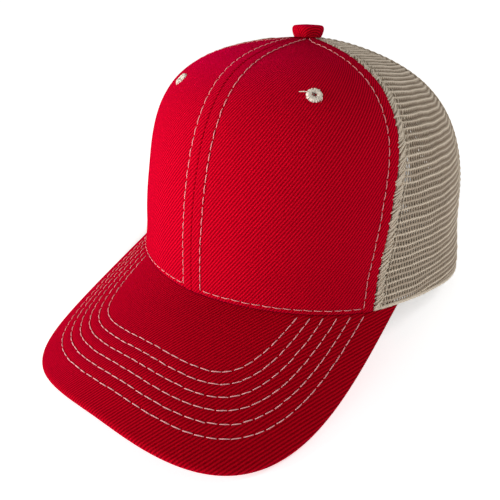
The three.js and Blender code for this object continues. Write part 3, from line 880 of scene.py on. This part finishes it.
def knit_shaken(flat):
    """The knit's flat points, with rows that wave slowly and yarns a little out of place."""
    drift = flat[:, 1] / 7.3
    flat[:, 1] += 0.12 * np.sin(flat[:, 0] / 3.1 + drift) + 0.15 * np.sin(flat[:, 0] / 5.7 - 1.7 * drift)
    return flat + RANDOM.normal(0, 0.06, flat.shape)


def mesh_panel(side, front, back, node, opening=False):
    """A panel of open knit: a brick pattern of slits between raised cords."""
    mapper = MeshMap(front, back)
    points, quads, middle, cords = knit_cells(KNIT_COLUMNS, KNIT_ROWS)
    top = s_at_radius(np.array(2.0), 5.5)
    scale, foot_point = np.array([KNIT_WIDTH, KNIT_HEIGHT]), np.array([0, KNIT_FOOT])
    flat = knit_shaken(points * scale + foot_point)
    angle, s, _ = mapper.place(flat[:, 0], flat[:, 1], top)
    center = middle * scale + foot_point
    mid_angle, mid_s, moved = mapper.place(center[:, 0], center[:, 1], top)
    foot = center[:, 1] - rim_height(mid_angle)
    keep = (np.abs(moved) < KNIT_WIDTH * 0.45) & (foot > 1.0) & (mid_s < top - 0.004)
    if opening:
        place = crown_skin(mid_angle, mid_s)
        keep &= ~in_arch(place[:, 0], place[:, 2], 1.8)
    s = np.maximum(s, s_at_height(angle, np.full_like(angle, 0.5)))
    # Higher up the weaker cords stand higher, which also paints them lighter there.
    cords = np.where(cords == 0.5, 0.5 + 0.35 * smooth((s - 0.25) / 0.3), cords)
    relief = 0.55 + 0.3 * smooth((s - 0.2) / 0.3)
    outer = crown_point(angle, s, relief * cords - 0.55)
    inner = crown_point(angle, s, 0.1 * cords - 0.95)
    solid, faces = thick_sheet(outer, inner, quads[keep].reshape(-1, 4))
    # The cord heights go into the cloth attribute, where they paint the knit: painted highlight on the
    # cords, painted shade round the slits, and the inner face at 0.3 of it, painted shade inside the
    # crown.
    shade = np.stack([0 * cords, cords], -1)
    solid, faces, cloth = tidy(solid, faces, np.concatenate([shade, shade * 0.3]))
    solid, faces = sided(solid, faces, side)
    piece = make_piece(node.replace("mesh", "knit"), solid, faces, KNIT, "mesh", cloth)
    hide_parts(node)


# ---- bands swept along a line ----

def sweep(line, normals, section):
    """A band with a closed section, drawn as (sideways, outward), along a line of points."""
    tangent = unit(np.gradient(line, axis=0))
    aside = unit(np.cross(tangent, normals))
    section = np.asarray(section, float)
    if section.ndim == 2:
        section = np.broadcast_to(section, (len(line),) + section.shape)
    ring = (line[:, None] + aside[:, None] * section[..., :1] + normals[:, None] * section[..., 1:])
    around, along = lengths_along(section[0]), lengths_along(line)
    flat = np.stack(np.broadcast_arrays(around[None, :], along[:, None]), -1)
    return ring.reshape(-1, 3), tube_faces(*ring.shape[:2]), flat.reshape(-1, 2)


def lozenge(width, thickness, count=12):
    """A flat rounded section."""
    turn = np.arange(count) * 2 * PI / count
    return np.stack([width / 2 * signed_power(np.cos(turn), 0.6),
                     thickness / 2 * signed_power(np.sin(turn), 0.6)], -1)


def crown_band(angle, s, section):
    return sweep(*crown_line(angle, s, 0.0), section)


def foot_angle():
    """The angle at which the back opening's foot meets the rim."""
    return float(angle_at_x(OPENING_HALF + 0.5, 1.0))


def overlock_loop(side, at, length, s):
    """One slanting loop that starts at a length up the side seam and laps onto the mesh."""
    t = np.linspace(0, 1, 8)
    climb_at = at + (LOOP_CLIMB + RANDOM.normal(0, 0.9)) * t + RANDOM.normal(0, 0.5)
    reach = LOOP_REACH - 1.9 * smooth((at / length[-1] - 0.35) / 0.2)
    start, end = RANDOM.uniform(-1.3, 0.5), reach * RANDOM.uniform(0.7, 1.0)
    across = start + (end - start) * t + RANDOM.normal(0, 0.35) * np.sin(PI * t)
    loop_s = np.interp(climb_at, length, s)
    radius = plan_radius(side_seam(loop_s), loop_s)
    fit = np.minimum(1, radius / 16)
    angle = side * (side_seam(loop_s) + across * fit / radius)
    lift = (0.5 - 0.4 * t + 0.25 * np.sin(PI * t)) * (0.4 + 0.6 * fit)
    return cord(*crown_line(angle, loop_s, lift), 0.34 + RANDOM.uniform(-0.1, 0.13))


def selvage(side):
    """The mesh's edge beside the red panel: a narrow band under ragged, slanting overlock loops."""
    s = np.linspace(0.001, SEAM_TOP, 420)
    base = side_seam(s)
    radius = plan_radius(base, s)
    shrink = np.minimum(1, radius / 16)
    length = lengths_along(crown_skin(base, s))
    wave = 0.22 * np.sin(length * 2 * PI / 4.3)
    place = base + (2.3 * shrink + wave) / radius
    section = lozenge(3.0, 0.7)[None] * shrink[:, None, None] + np.array([0, -0.4])
    runs = [crown_band(side * place, s, section)]
    runs += [overlock_loop(side, at, length, s) for at in np.arange(0.6, length[-1] - 12, LOOP_STEP)]
    for row in (3.9, 5.9):
        chain = side * (base + (row * shrink) / radius)
        runs.append(stitch_run(*crown_line(chain, s, 0.0), pitch=2.6, gap=0.3, width=0.5))
    stitching(f"selvage_{side_name(side)}", runs, KNIT_EDGE, "mesh")


def cord(line, normals, radius, sides=6):
    """A round thread along a line."""
    turn = np.arange(sides) * 2 * PI / sides
    girth = radius * (0.35 + 0.65 * np.sin(PI * np.clip(np.linspace(0, 1, len(line)), 0.06, 0.94)) ** 0.35)
    section = np.stack([np.cos(turn), np.sin(turn)], -1)[None] * girth[:, None, None]
    return sweep(line, normals, section)


def rim_hem(side):
    """The mesh's folded foot, from the side seam round to the back opening."""
    start, end = side_seam(0.0) + 0.004, foot_angle()
    angle = np.linspace(start, end, 260)
    s = s_at_height(angle, 0.8 + 0 * angle)
    swell = 1 + 0.05 * np.sin(np.arange(len(angle)) * 0.9)
    section = lozenge(1.7, 1.3)[None] * swell[:, None, None] + np.array([0, -0.5])
    runs = [crown_band(side * angle, s, section)]
    stitching(f"rim_hem_{side_name(side)}", runs, KNIT_EDGE, "mesh")


# ---- tapes, binding and sweatband inside the crown ----

def seam_tape(seam, name, node, side=1, first_s=0.002, depth=TAPE_DEPTH):
    """A tape sewn over a seam's inside by two rows of stitches."""
    s = np.linspace(first_s, float(s_at_radius(np.array(seam(1.0)), 14.0)), 110)
    middle = seam(s)
    across = np.linspace(-TAPE_HALF, TAPE_HALF, 13)
    angle = middle[:, None] + across / plan_radius(middle, s)[:, None]
    grid_s = s[:, None] + 0 * angle
    fold = 0.25 * bell(np.abs(across) - TAPE_HALF, 0.8) + 0.12 * bell(across, 1.5)
    inner = crown_point(angle, grid_s, -depth - TAPE_THICK)
    inner = inner - crown_normal(angle, grid_s) * fold[None, :, None]
    points, faces = sided(*slab(crown_point(angle, grid_s, -depth), inner), side)
    flat = double(np.stack([(angle - angle[:, :1]) * INNER_RADIUS, climb(angle, grid_s)], -1))
    piece = make_piece(name, points, faces, TAPE, "tape", flat)
    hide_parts(node)
    rows = []
    for offset in (-TAPE_ROW, TAPE_ROW):
        row = side * (middle + offset / plan_radius(middle, s))
        rows.append(stitch_run(*inner_line(row, s, depth + 0.55)))
    stitching(f"{name}_stitches", rows)


def inner_line(angle, s, depth):
    """A run on the crown's inner side, with normals facing in."""
    return crown_point(angle, s, -depth), -crown_normal(angle, s)


def seam_tapes():
    for side in (1, -1):
        name = side_name(side)
        seam_tape(side_seam, f"side_tape_{name}", f"side_seam_tape_{name}", side)
        seam_tape(rear_seam, f"rear_tape_{name}", f"rear_seam_tape_{name}", side)
    seam_tape(center_seam, "center_tape", "center_seam_tape", depth=CENTER_TAPE_DEPTH)
    start = s_over_opening(10, arc_table(PI)[1])
    seam_tape(back_seam, "back_tape", "back_seam_tape", first_s=start)


def rear_welts():
    """The raised seams between mesh panels, outside, with the stitches through them."""
    over_opening = s_over_opening(1.5, np.linspace(0, 1, 600))
    runs = []
    for seam, side, lowest in ((rear_seam, 1, 0.01), (rear_seam, -1, 0.01), (back_seam, 1, over_opening)):
        s = np.linspace(lowest, SEAM_TOP, 300)
        middle = side * seam(s)
        radius = plan_radius(middle, s)
        shrink = np.minimum(1, radius / 14)
        runs.append(crown_band(middle, s, lozenge(3.4, 0.95)[None] * shrink[:, None, None]))
        for offset in (-2.6, 2.6):
            line = crown_line(middle + offset * shrink / radius, s, 0.35)
            runs.append(stitch_run(*line, pitch=3.4, gap=0.5, width=0.5))
    stitching("mesh_seams", runs, KNIT_EDGE, "mesh")


def arch_line(margin, count=150):
    """Angles and s along the back opening's arch, from its foot at +X over to the other foot."""
    ends = 0.004
    t = np.linspace(PI * ends, PI * (1 - ends), count)
    x = (OPENING_HALF + margin) * signed_power(np.cos(t), 2 / OPENING_POWER)
    z = np.maximum((OPENING_HEIGHT + margin) * signed_power(np.sin(t), 2 / OPENING_POWER), 0.7)
    angle = np.where(np.abs(x) < 1e-6, PI, angle_at_x(x, z))
    return angle, s_at_height(angle, z)


def opening_binding():
    """A tape folded round the arch's edge: 6 mm outside, 8 mm inside."""
    outside = [(6.0, 0.10), (5.8, 0.48), (4.6, 0.60), (3.2, 0.42), (1.6, 0.52), (0.4, 0.50), (-0.35, 0.1)]
    inside = [(-0.55, -0.6), (-0.35, -1.4), (0.4, -1.95), (3, -1.95), (6, -1.95), (7.8, -1.9), (8, -1.5)]
    back = [(7.6, -1.3), (4.0, -1.2), (1.0, -1.1), (0.7, -0.5), (1.2, 0.0), (4.0, 0.02)]
    outline = outside + inside + back
    lines = [crown_point(*arch_line(margin), lift) for margin, lift in outline]
    grid = np.stack(lines, 1)
    rings, sides = grid.shape[:2]
    flat = np.stack(np.meshgrid(np.arange(sides) * 1.4, np.arange(rings) * 1.1), -1)
    piece = make_piece("arch_binding", grid.reshape(-1, 3), tube_faces(rings, sides), TAPE, "tape", flat)
    turn_out(piece)
    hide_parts("opening_binding")
    rows = []
    for margin in (1.0, 5.0):
        angle, s = arch_line(margin, 260)
        rows.append(stitch_run(*crown_line(angle, s, 0.62)))
        rows.append(stitch_run(*inner_line(angle, s, 2.05)))
    stitching("binding_stitches", rows)


def sweatband():
    """A cotton band folded over a foam strip, sewn to the rim."""
    end = float(angle_at_x(BAND_END_X, 0.4))
    angle = np.linspace(-end, end, 300)
    foot = [BAND_FOOT, 0.8, 1.3, 2.0, 2.8, 3.4, 4.2, 5.4]
    height = np.concatenate([foot, np.linspace(7, 31, 16), [31.7, BAND_TOP]])
    grid_angle, grid_height = np.meshgrid(angle, height)
    s = s_at_height(grid_angle, grid_height)
    edge = smooth((grid_height - BAND_FOOT) / 1.6) * smooth((BAND_TOP - grid_height) / 1.4)
    crease = bell(grid_height - BAND_LOW_ROW, 0.7)
    pucker = 0.12 * np.sin(grid_angle * INNER_RADIUS * 2 * PI / STITCH_PITCH)
    pucker *= bell(grid_height - BAND_LOW_ROW, 2.2)
    inner = -3.45 - 0.95 * edge + 0.45 * crease + pucker - 0.15 * np.sin(grid_angle * 17) * edge
    points, faces = slab(crown_point(grid_angle, s, -BAND_DEPTH), crown_point(grid_angle, s, inner))
    flat = double(np.stack([grid_angle * INNER_RADIUS, grid_height], -1))
    piece = make_piece("sweatband_cloth", points, faces, SWEAT, "sweatband", flat)
    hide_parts("sweatband")
    line = np.linspace(-end + 0.02, end - 0.02, 400)
    low, high = (s_at_height(line, row + 0 * line) for row in (BAND_LOW_ROW, BAND_HIGH_ROW))
    rows = [stitch_run(*inner_line(line, low, 4.05)), stitch_run(*inner_line(line, high, 4.35), pitch=3.2)]
    stitching("sweatband_stitches", rows)


# ---- visor ----

def visor_outline(t):
    """Plan points of the visor's free edge; t runs from -PI / 2 at one end to PI / 2 at the other."""
    across = VISOR_HALF * signed_power(np.sin(t), 2 / VISOR_WIDTH_POWER)
    front = -RIM_FRONT - VISOR_LENGTH
    y = VISOR_END_Y + (front - VISOR_END_Y) * np.abs(np.cos(t)) ** (2 / VISOR_LENGTH_POWER)
    return VISOR_ARCH * np.sin(across / VISOR_ARCH), y


def visor_edge(angle):
    """The points of the visor's free edge at angles seen from the crown's axis."""
    size = np.abs(angle)
    t = bisect(0 * size, PI / 2 + 0 * size,
               lambda guess: np.arctan2(visor_outline(guess)[0], -visor_outline(guess)[1]) < size)
    x, y = visor_outline(t)
    return np.stack([x * np.sign(angle), y], -1)


def visor_sheet(plan, angle, depth):
    """Points of the visor over plan points (x, y), a depth below its top."""
    rim = np.stack(rim_plan(angle), -1)
    outside = np.where(np.hypot(*np.moveaxis(plan, -1, 0))[..., None]
                       > np.hypot(*np.moveaxis(rim, -1, 0))[..., None], plan, rim)
    lift = rim_height(angle) - visor_height(rim[..., 0], rim[..., 1])
    z = visor_height(outside[..., 0], outside[..., 1]) + lift - 0.3
    sine = np.clip(outside[..., 0] / VISOR_ARCH, -0.999, 0.999)
    slope = sine / np.sqrt(1 - sine ** 2) / math.cos(VISOR_PITCH)
    normal = unit(np.stack([slope, -math.tan(VISOR_PITCH) + 0 * slope, 1 + 0 * slope], -1))
    point = np.stack([plan[..., 0], plan[..., 1], z], -1)
    return point - normal * np.asarray(depth)[..., None], normal


def unrolled(x, y):
    """Plan points laid out on the flat sheet that the visor is bent from."""
    flat_x = VISOR_ARCH * np.arcsin(np.clip(x / VISOR_ARCH, -1, 1))
    return np.stack([flat_x, y / math.cos(VISOR_PITCH)], -1)


def outline_flat():
    t = np.linspace(-PI / 2, PI / 2, 1400)
    return unrolled(*visor_outline(t))


def edge_distance(flat):
    """How far flat points lie inside the visor's outline."""
    border = outline_flat()
    points = flat.reshape(-1, 2)
    parts = [np.sqrt(((part[:, None] - border[None]) ** 2).sum(2)).min(1)
             for part in np.array_split(points, max(len(points) // 1500, 1))]
    return np.concatenate(parts).reshape(flat.shape[:-1])


def visor_row(offset):
    """A stitch row's plan points: the outline moved inwards on the flat sheet, clear of the crown."""
    border = outline_flat()
    tangent = unit(np.gradient(border, axis=0))
    normal = np.stack([-tangent[:, 1], tangent[:, 0]], -1)
    middle = np.array([0, -RIM_FRONT / math.cos(VISOR_PITCH)])
    normal *= np.sign(((middle - border) * normal).sum(1))[:, None]
    row = border + normal * offset
    row = row[edge_distance(row) > offset - 0.25]
    x, y = VISOR_ARCH * np.sin(row[:, 0] / VISOR_ARCH), row[:, 1] * math.cos(VISOR_PITCH)
    angle = np.arctan2(x, -y)
    rim = np.hypot(*rim_plan(angle))
    clear = (np.hypot(x, y) > rim + 0.6) & (np.abs(angle) < VISOR_TIP - 0.02)
    return np.stack([x, y], -1)[clear], angle[clear]


def visor_relief(inside, angle, flat, face):
    """How high a cover stands: padded between its stitch rows, furrowed along them, slightly wavy."""
    deepest = VISOR_FIRST_ROW + VISOR_ROW_GAP * (VISOR_ROWS - 1)
    phase = (inside - VISOR_FIRST_ROW) / VISOR_ROW_GAP
    between = (inside > VISOR_FIRST_ROW - 1) & (inside < deepest + 1)
    lift = 0.16 * np.sin(PI * phase) ** 2 * between
    for k in range(VISOR_ROWS):
        lift += groove(inside - VISOR_FIRST_ROW - k * VISOR_ROW_GAP, angle * VISOR_RADIUS, 0.26, 0.6)
    lift += 0.10 * np.sin(flat[..., 0] / 11 + face) * np.sin(flat[..., 1] / 13)
    return lift * smooth((inside - 2) / 4)


def visor_cloth(face, name, node):
    """The upper (1) or lower (-1) cover, rolled round the front edge to the middle of the thickness."""
    half, nose = VISOR_DEPTH / 2, 0.034
    rolls = np.linspace(PI / 2, 0.01, 9)
    flat_part = np.concatenate([np.linspace(0, 0.05, 5)[:-1], np.linspace(0.05, 1 - nose, 128)[:-1]])
    share = np.concatenate([flat_part, 1 - nose + nose * np.cos(rolls)])
    height = np.concatenate([np.full(len(flat_part), 1.0), np.sin(rolls)])
    angle = np.linspace(-VISOR_TIP, VISOR_TIP, 300)
    rim = np.stack(rim_plan(angle), -1)
    reach = np.linalg.norm(rim, axis=1, keepdims=True)
    root = rim * (reach - VISOR_TUCK) / reach
    edge = visor_edge(angle)
    plan = root[None] + (edge - root)[None] * share[:, None, None]
    grid_angle = np.broadcast_to(angle, plan.shape[:2])
    flat = unrolled(plan[..., 0], plan[..., 1])
    inside = edge_distance(flat)
    lift = visor_relief(inside, grid_angle, flat, face)
    seam = 0.35 * bell(height * half, 0.35)[:, None] * (share > 1 - nose)[:, None]
    squeeze = plan - (edge - root)[None] / 65 * seam[..., None]
    middle = half * np.ones_like(inside)
    outer_depth = middle - face * (half * height[:, None] + lift)
    inner_depth = middle - face * np.maximum(half * height[:, None] - VISOR_CLOTH + lift, 0.02)
    outer, _ = visor_sheet(squeeze, grid_angle, outer_depth)
    inset = plan - (edge - root)[None] * (0.011 * (height < 0.999))[:, None, None]
    inner, _ = visor_sheet(inset, grid_angle, inner_depth)
    piece = make_piece(name, *slab(outer, inner), VISOR_TWILL, "twill", double(flat))
    turn_out(piece)
    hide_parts(node)


def visor_stitches():
    runs = []
    for k in range(VISOR_ROWS):
        plan, angle = visor_row(VISOR_FIRST_ROW + k * VISOR_ROW_GAP)
        top, normal = visor_sheet(plan, angle, np.full(len(plan), -0.02))
        low, _ = visor_sheet(plan, angle, np.full(len(plan), VISOR_DEPTH + 0.02))
        runs.append(stitch_run(top, normal, pitch=4.6))
        runs.append(stitch_run(low, -normal, pitch=4.6))
    stitching("visor_stitches", runs, VISOR_THREAD)


# ---- button and eyelets ----

def gathered(radius, height, turn):
    """The outer and inner points of cloth drawn over a dome, in folds that fade towards the top."""
    fine = np.linspace(0, 1, len(radius))
    fold = 0.5 + 0.5 * np.cos(turn * 11 + 0.8 * np.sin(turn * 3))
    weight = bell(fine - 0.1, 0.3)[:, None]
    grown = radius[:, None] + 0.30 * (fold ** 2 - 0.35) * weight
    raised = height[:, None] + 0.08 * np.sin(turn * 3 + 1) * (1 - weight)
    rings = []
    for inset in (0.0, 0.7):
        wide = np.maximum(grown - inset, 0.25)
        sunk = raised - inset * (fine > 0.4)[:, None]
        rings.append(np.stack([wide * np.cos(turn), wide * np.sin(turn), sunk], -1))
    return rings


def dome_faces(rows, columns):
    """Faces of a thick dome: outer and inner skin ring by ring, the foot between them, two tops."""
    count = rows * columns
    faces = grid_faces(rows, columns, wrap=True).tolist()
    faces += grid_faces(rows, columns, count, wrap=True, flip=True).tolist()
    faces += [[(k + 1) % columns, k, k + count, (k + 1) % columns + count] for k in range(columns)]
    top = count - columns
    return faces + [[top + k for k in range(columns)], [count + top + k for k in range(columns)][::-1]]


def button():
    """The cloth-covered button: gathered cloth over a domed shell."""
    outline = np.array([(0.84, .06), (0.88, .16), (0.92, .28), (0.96, .42), (0.99, .55), (1.0, .67),
                        (0.99, .78), (0.95, .88), (0.87, .95), (0.7, .985), (0.45, 1.0), (0.12, 1.01)])
    fine = np.linspace(0, 1, 40)
    t = np.linspace(0, 1, len(outline))
    radius = np.interp(fine, t, outline[:, 0]) * BUTTON_RADIUS
    height = np.interp(fine, t, outline[:, 1]) * BUTTON_HEIGHT
    turn = np.linspace(0, 2 * PI, 120, endpoint=False)
    points = np.stack(gathered(radius, height, turn)).reshape(-1, 3) + np.array([0, APEX_Y, CROWN_HEIGHT])
    faces = dome_faces(len(radius), len(turn))
    steps = np.hypot(np.diff(radius), np.diff(height))
    reach = np.append(np.cumsum(steps[::-1])[::-1], 0.0)[:, None] + radius[-1]
    polar = np.stack([reach * np.cos(turn), reach * np.sin(turn)], -1).reshape(-1, 2)
    piece = make_piece("button_cloth", points, faces, TWILL, "twill", double(polar))
    turn_out(piece)
    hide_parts("button_cover")


def satin_spoke(place, face, base, k):
    """One satin stitch from the hole outwards, on the cloth's outer (1) or inner (-1) face."""
    point, normal, across, up = place
    turn = 2 * PI * (k + RANDOM.normal(0, 0.12)) / EYELET_SPOKES
    outer = EYELET_REACH + RANDOM.normal(0, 0.17)
    inner = RANDOM.uniform(0.7, 1.6)
    t = np.linspace(0, 1, 7)
    radius = inner + (outer - inner) * t
    lift = base + face * (0.75 * np.sin(PI * (0.12 + 0.88 * t)) ** 0.6 - 0.15)
    spoke = across * math.cos(turn) + up * math.sin(turn)
    line = point + normal * lift[:, None] + spoke * radius[:, None]
    return cord(line, np.tile(normal * face, (7, 1)), RANDOM.uniform(0.26, 0.4))


def eyelet(side):
    """An embroidered eyelet: satin stitches lying round a small hole, inside and outside."""
    point, normal, across, up = eyelet_frame(side)
    runs = [satin_spoke(eyelet_frame(side), face, base, k) for face, base in ((1, 0.15), (-1, -1.75))
            for k in range(EYELET_SPOKES)]
    turn = np.linspace(0, 2 * PI, 33)
    circle, normals = across * np.cos(turn)[:, None] + up * np.sin(turn)[:, None], np.tile(normal, (33, 1))
    for depth in np.arange(-0.6, -2.2, -0.42):
        runs.append(cord(point + EYELET_RING * circle + normal * depth, normals, 0.32))
    runs.append(sweep(point + 2.5 * circle + normal * -1.85, normals, lozenge(2.2, 0.7)))
    if side > 0:
        t = np.linspace(0, 1, 10)
        tail = (point + normal * (0.9 - 0.35 * t)[:, None] + across * (-1.0 - 5.2 * t)[:, None]
                + up * (0.4 + 1.3 * t + 0.3 * np.sin(4 * t))[:, None])
        runs.append(cord(tail, np.tile(normal, (10, 1)), 0.2))
    piece = stitching(f"eyelet_thread_{side_name(side)}", runs)
    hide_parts(f"eyelet_{side_name(side)}")


# ---- snap strap ----

def strap_frame(x):
    """Points of the crown's skin at the strap's middle height, and the level directions out of it."""
    height = np.full_like(x, (STRAP_LOW + STRAP_HIGH) / 2)
    angle = angle_at_x(x, height)
    s = s_at_height(angle, height)
    outward = crown_normal(angle, s)
    outward[..., 2] = 0
    return crown_skin(angle, s), unit(outward)


def strap(side, name, depth, tip_x):
    """One half of the snap strap with the end that is sewn under the sweatband."""
    sewn_end = np.linspace(STRAP_END, STRAP_HINGE + 3, 16)
    x = side * np.concatenate([sewn_end, np.linspace(STRAP_HINGE + 2, side * tip_x, 90)])
    lack = np.maximum(TIP_ROUND - np.abs(x - tip_x), 0)
    half = (STRAP_HIGH - STRAP_LOW) / 2
    taper = half - TIP_ROUND + np.sqrt(np.maximum(TIP_ROUND ** 2 - lack ** 2, 0))
    sewn = smooth((np.abs(x) - STRAP_HINGE) / 2.4)
    own_depth = depth * (1 - sewn) + SEWN_DEPTH * sewn
    thick = STRAP_THICK * (1 - sewn) + SEWN_THICK * sewn
    point, outward = strap_frame(x)
    across = np.linspace(-1, 1, 15)
    middle = (STRAP_LOW + STRAP_HIGH) / 2
    edge = 0.18 * smooth((np.abs(across) - 0.8) / 0.2)
    grids = []
    for face in (0, 1):
        level = own_depth[None, :] + thick[None, :] * face + (0.5 - face) * 2 * edge[:, None]
        grid = point[None] - outward[None] * level[..., None]
        grid[..., 2] = middle + across[:, None] * taper[None, :]
        grids.append(grid)
    points, faces = slab(*grids)
    flat = double(np.stack(np.broadcast_arrays(x[None, :], across[:, None] * half), -1))
    piece = make_piece(name, points, faces, PLASTIC, "strap", flat, body=None)
    turn_out(piece)
    return piece


def strap_rods(first_x, count, depth, radii, heights):
    """Round rods through or on a strap, a pitch apart, as one tool of closed cylinders."""
    turn = np.linspace(0, 2 * PI, ROD_SIDES, endpoint=False)
    points, faces = [], []
    for x in first_x + STRAP_PITCH * np.arange(count):
        spot, outward = strap_frame(np.array([float(x)]))
        spot, outward = spot[0], outward[0]
        spot[2] = (STRAP_LOW + STRAP_HIGH) / 2
        aside, up = np.array([-outward[1], outward[0], 0]), np.array([0, 0, 1.0])
        circle = aside * np.cos(turn)[:, None] + up * np.sin(turn)[:, None]
        faces += tube_faces(len(radii), ROD_SIDES, len(points) * ROD_SIDES)
        points += [spot + outward * (rise - depth) + radius * circle
                   for radius, rise in zip(radii, heights)]
    mesh = bpy.data.meshes.new("tool")
    mesh.from_pydata(to_row(np.concatenate(points)).tolist(), [], faces)
    tool = bpy.data.objects.new("tool", mesh)
    bpy.context.scene.collection.objects.link(tool)
    turn_out(tool)
    return tool


def combine(piece, tool, operation):
    """Cuts a tool out of a piece, or joins it on, and rounds the edges that this leaves."""
    cut = piece.modifiers.new("cut", "BOOLEAN")
    cut.operation, cut.solver, cut.object = operation, "EXACT", tool
    bevel = piece.modifiers.new("edge", "BEVEL")
    bevel.width, bevel.segments = 0.00018, 2
    bevel.limit_method, bevel.angle_limit = "ANGLE", math.radians(50)
    apply_modifiers(piece)
    bpy.data.objects.remove(tool)
    piece.data.polygons.foreach_set("use_smooth", np.ones(len(piece.data.polygons), bool))


def straps():
    """Both halves of the strap, the one with its holes cut through, the other with its pegs joined on."""
    hole_strap = strap(1, "strap_holed", HOLE_DEPTH, HOLE_TIP_X)
    holes = strap_rods(FIRST_HOLE_X, HOLES, HOLE_DEPTH, (HOLE_RADIUS, HOLE_RADIUS), (-4, 3))
    combine(hole_strap, holes, "DIFFERENCE")
    peg_strap = strap(-1, "strap_pegged", PEG_DEPTH, PEG_TIP_X)
    domed = (1.85, 1.8, 1.62, 1.3, 0.7), (-0.4, 0.3, 1.2, 1.55, 1.7)
    combine(peg_strap, strap_rods(FIRST_PEG_X, PEGS, PEG_DEPTH, *domed), "UNION")
    for piece, side, node, body in ((hole_strap, 1, "hole_strap", "strap_with_holes"),
                                    (peg_strap, -1, "peg_strap", "strap_with_pegs")):
        ends = [strap_frame(np.array([side * (STRAP_HINGE + d)]))[0][0] for d in (1.6, -1.6)]
        for end in ends:
            end[2] = (STRAP_LOW + STRAP_HIGH) / 2
        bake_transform(piece)
        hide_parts(node, f"{node}_tab")


# ---- whole cap ----

def build_cap():
    for side in (1, -1):
        front_panel(side)
        buckram(side)
        selvage(side)
        rim_hem(side)
        eyelet(side)
    stitching("front_stitches", front_stitches(1) + front_stitches(-1), SEAM_THREAD)
    for side in (1, -1):
        mesh_panel(side, "side", "rear", f"side_mesh_{side_name(side)}")
        mesh_panel(side, "rear", "back", f"back_mesh_{side_name(side)}", opening=True)
    rear_welts()
    seam_tapes()
    opening_binding()
    sweatband()
    visor_cloth(1, "visor_top", "visor_cover_top")
    visor_cloth(-1, "visor_underside", "visor_cover_bottom")
    visor_stitches()
    button()
    straps()
    for node, material in (("visor_board", BOARD), ("button_core", STEEL), ("button_rivet", STEEL)):
        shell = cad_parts[node]
        shell.data.materials.clear()
        shell.data.materials.append(material)


# ---- studio ----

# How strongly the floor glows near and far off, which is painted light; SHADE_MIDDLE and SHADE_HALF place
# the oval of painted shadow where the glow is left out.
NEAR_GLOW, FAR_GLOW, GLOW_GROWS = 0.58, 0.85, (500, 1800)
FLOOR_RADIUS = 40.0
SHADE_MIDDLE, SHADE_HALF = (-20, 70, 0), (80, 130, 80)
LIGHT_OF_WORLD, LOOK_OF_WORLD = 0.27, 1.0


def floor():
    """A wide round floor, whose edge lies far off from every side.

    It glows all over, painted light that grows brighter further off where the lamps don't reach; the glow
    is left out in an oval inside the crown and behind it, a painted shadow.
    """
    mesh = bpy.data.meshes.new("floor")
    turn = np.linspace(0, 2 * PI, 96, endpoint=False)
    rim = [(FLOOR_RADIUS * math.cos(t), FLOOR_RADIUS * math.sin(t), 0.0) for t in turn]
    mesh.from_pydata(rim, [], [list(range(len(rim)))])
    ground = bpy.data.objects.new("floor", mesh)
    bpy.context.scene.collection.objects.link(ground)
    n = Nodes("paper")
    grain = n.noise(n.object_mm(), 1.5)
    n.bump(grain, 0.02)
    far = n.ramp(n.reach(n.object_mm(), (0, 0, 0), (1, 1, 1)), *GLOW_GROWS)
    glow = n.scaled(far, FAR_GLOW - NEAR_GLOW, NEAR_GLOW)
    # Painted shadow: the glow is left out in an oval inside the crown and behind it.
    shade = n.ramp(n.reach(n.object_mm(), SHADE_MIDDLE, SHADE_HALF), 1.0, 1.3)
    glow = n.times(glow, shade)
    mesh.materials.append(n.finish(n.mix(grain, (0.86, 0.86, 0.86, 1), (0.9, 0.9, 0.9, 1)), 0.9,
                                   Emission_Color=(1, 1, 1, 1), Emission_Strength=glow))


def lamp(name, place, target, size, power, color=(1, 1, 1)):
    data = bpy.data.lights.new(name, "AREA")
    data.shape, data.size, data.energy, data.color = "DISK", size, power, color
    light = bpy.data.objects.new(name, data)
    bpy.context.scene.collection.objects.link(light)
    light.location = place
    light.rotation_euler = (Vector(target) - Vector(place)).to_track_quat("-Z", "Y").to_euler()


def studio():
    """White surroundings that light the cap less than the camera sees them, and four round lamps."""
    world = bpy.context.scene.world or bpy.data.worlds.new("studio")
    bpy.context.scene.world = world
    bpy.context.scene.view_settings.view_transform = "Standard"
    world.use_nodes = True
    tree = world.node_tree
    sky = tree.nodes["Background"]
    sky.inputs["Color"].default_value = (1, 1, 1, 1)
    path = tree.nodes.new("ShaderNodeLightPath")
    strength = tree.nodes.new("ShaderNodeMath")
    strength.operation = "MULTIPLY_ADD"
    strength.inputs[1].default_value = LOOK_OF_WORLD - LIGHT_OF_WORLD
    strength.inputs[2].default_value = LIGHT_OF_WORLD
    tree.links.new(path.outputs["Is Camera Ray"], strength.inputs[0])
    tree.links.new(strength.outputs[0], sky.inputs["Strength"])
    middle = (0.0, 0.0, 0.06)
    lamp("key", (-0.84, -0.84, 0.27), middle, 0.5, 16.6, (1, 0.98, 0.97))
    lamp("front", (-0.31, -1.14, 0.27), middle, 0.5, 2.6)
    lamp("fill", (1.02, -0.59, 0.31), middle, 0.5, 1.2)
    lamp("back", (0.6, 0.65, 0.9), middle, 0.5, 4.0)


def camera():
    """A camera before the visor and to the wearer's left, close by and above."""
    place = Vector((0.1215, -0.18579, 0.16275))
    ahead = Vector((-0.49694, 0.67330, -0.54746)).normalized()
    up = Vector((-0.28265, 0.47088, 0.83569)).normalized()
    aside = ahead.cross(up).normalized()
    data = bpy.data.cameras.new("camera")
    data.lens, data.sensor_width = 33.12, 36.0
    data.clip_start, data.clip_end = 0.01, 20.0
    view = bpy.data.objects.new("camera", data)
    bpy.context.scene.collection.objects.link(view)
    turn = Matrix((aside, up, -ahead)).transposed()
    view.matrix_world = Matrix.Translation(place) @ turn.to_4x4()
    bpy.context.scene.camera = view


camera()
build_cap()
floor()
studio()
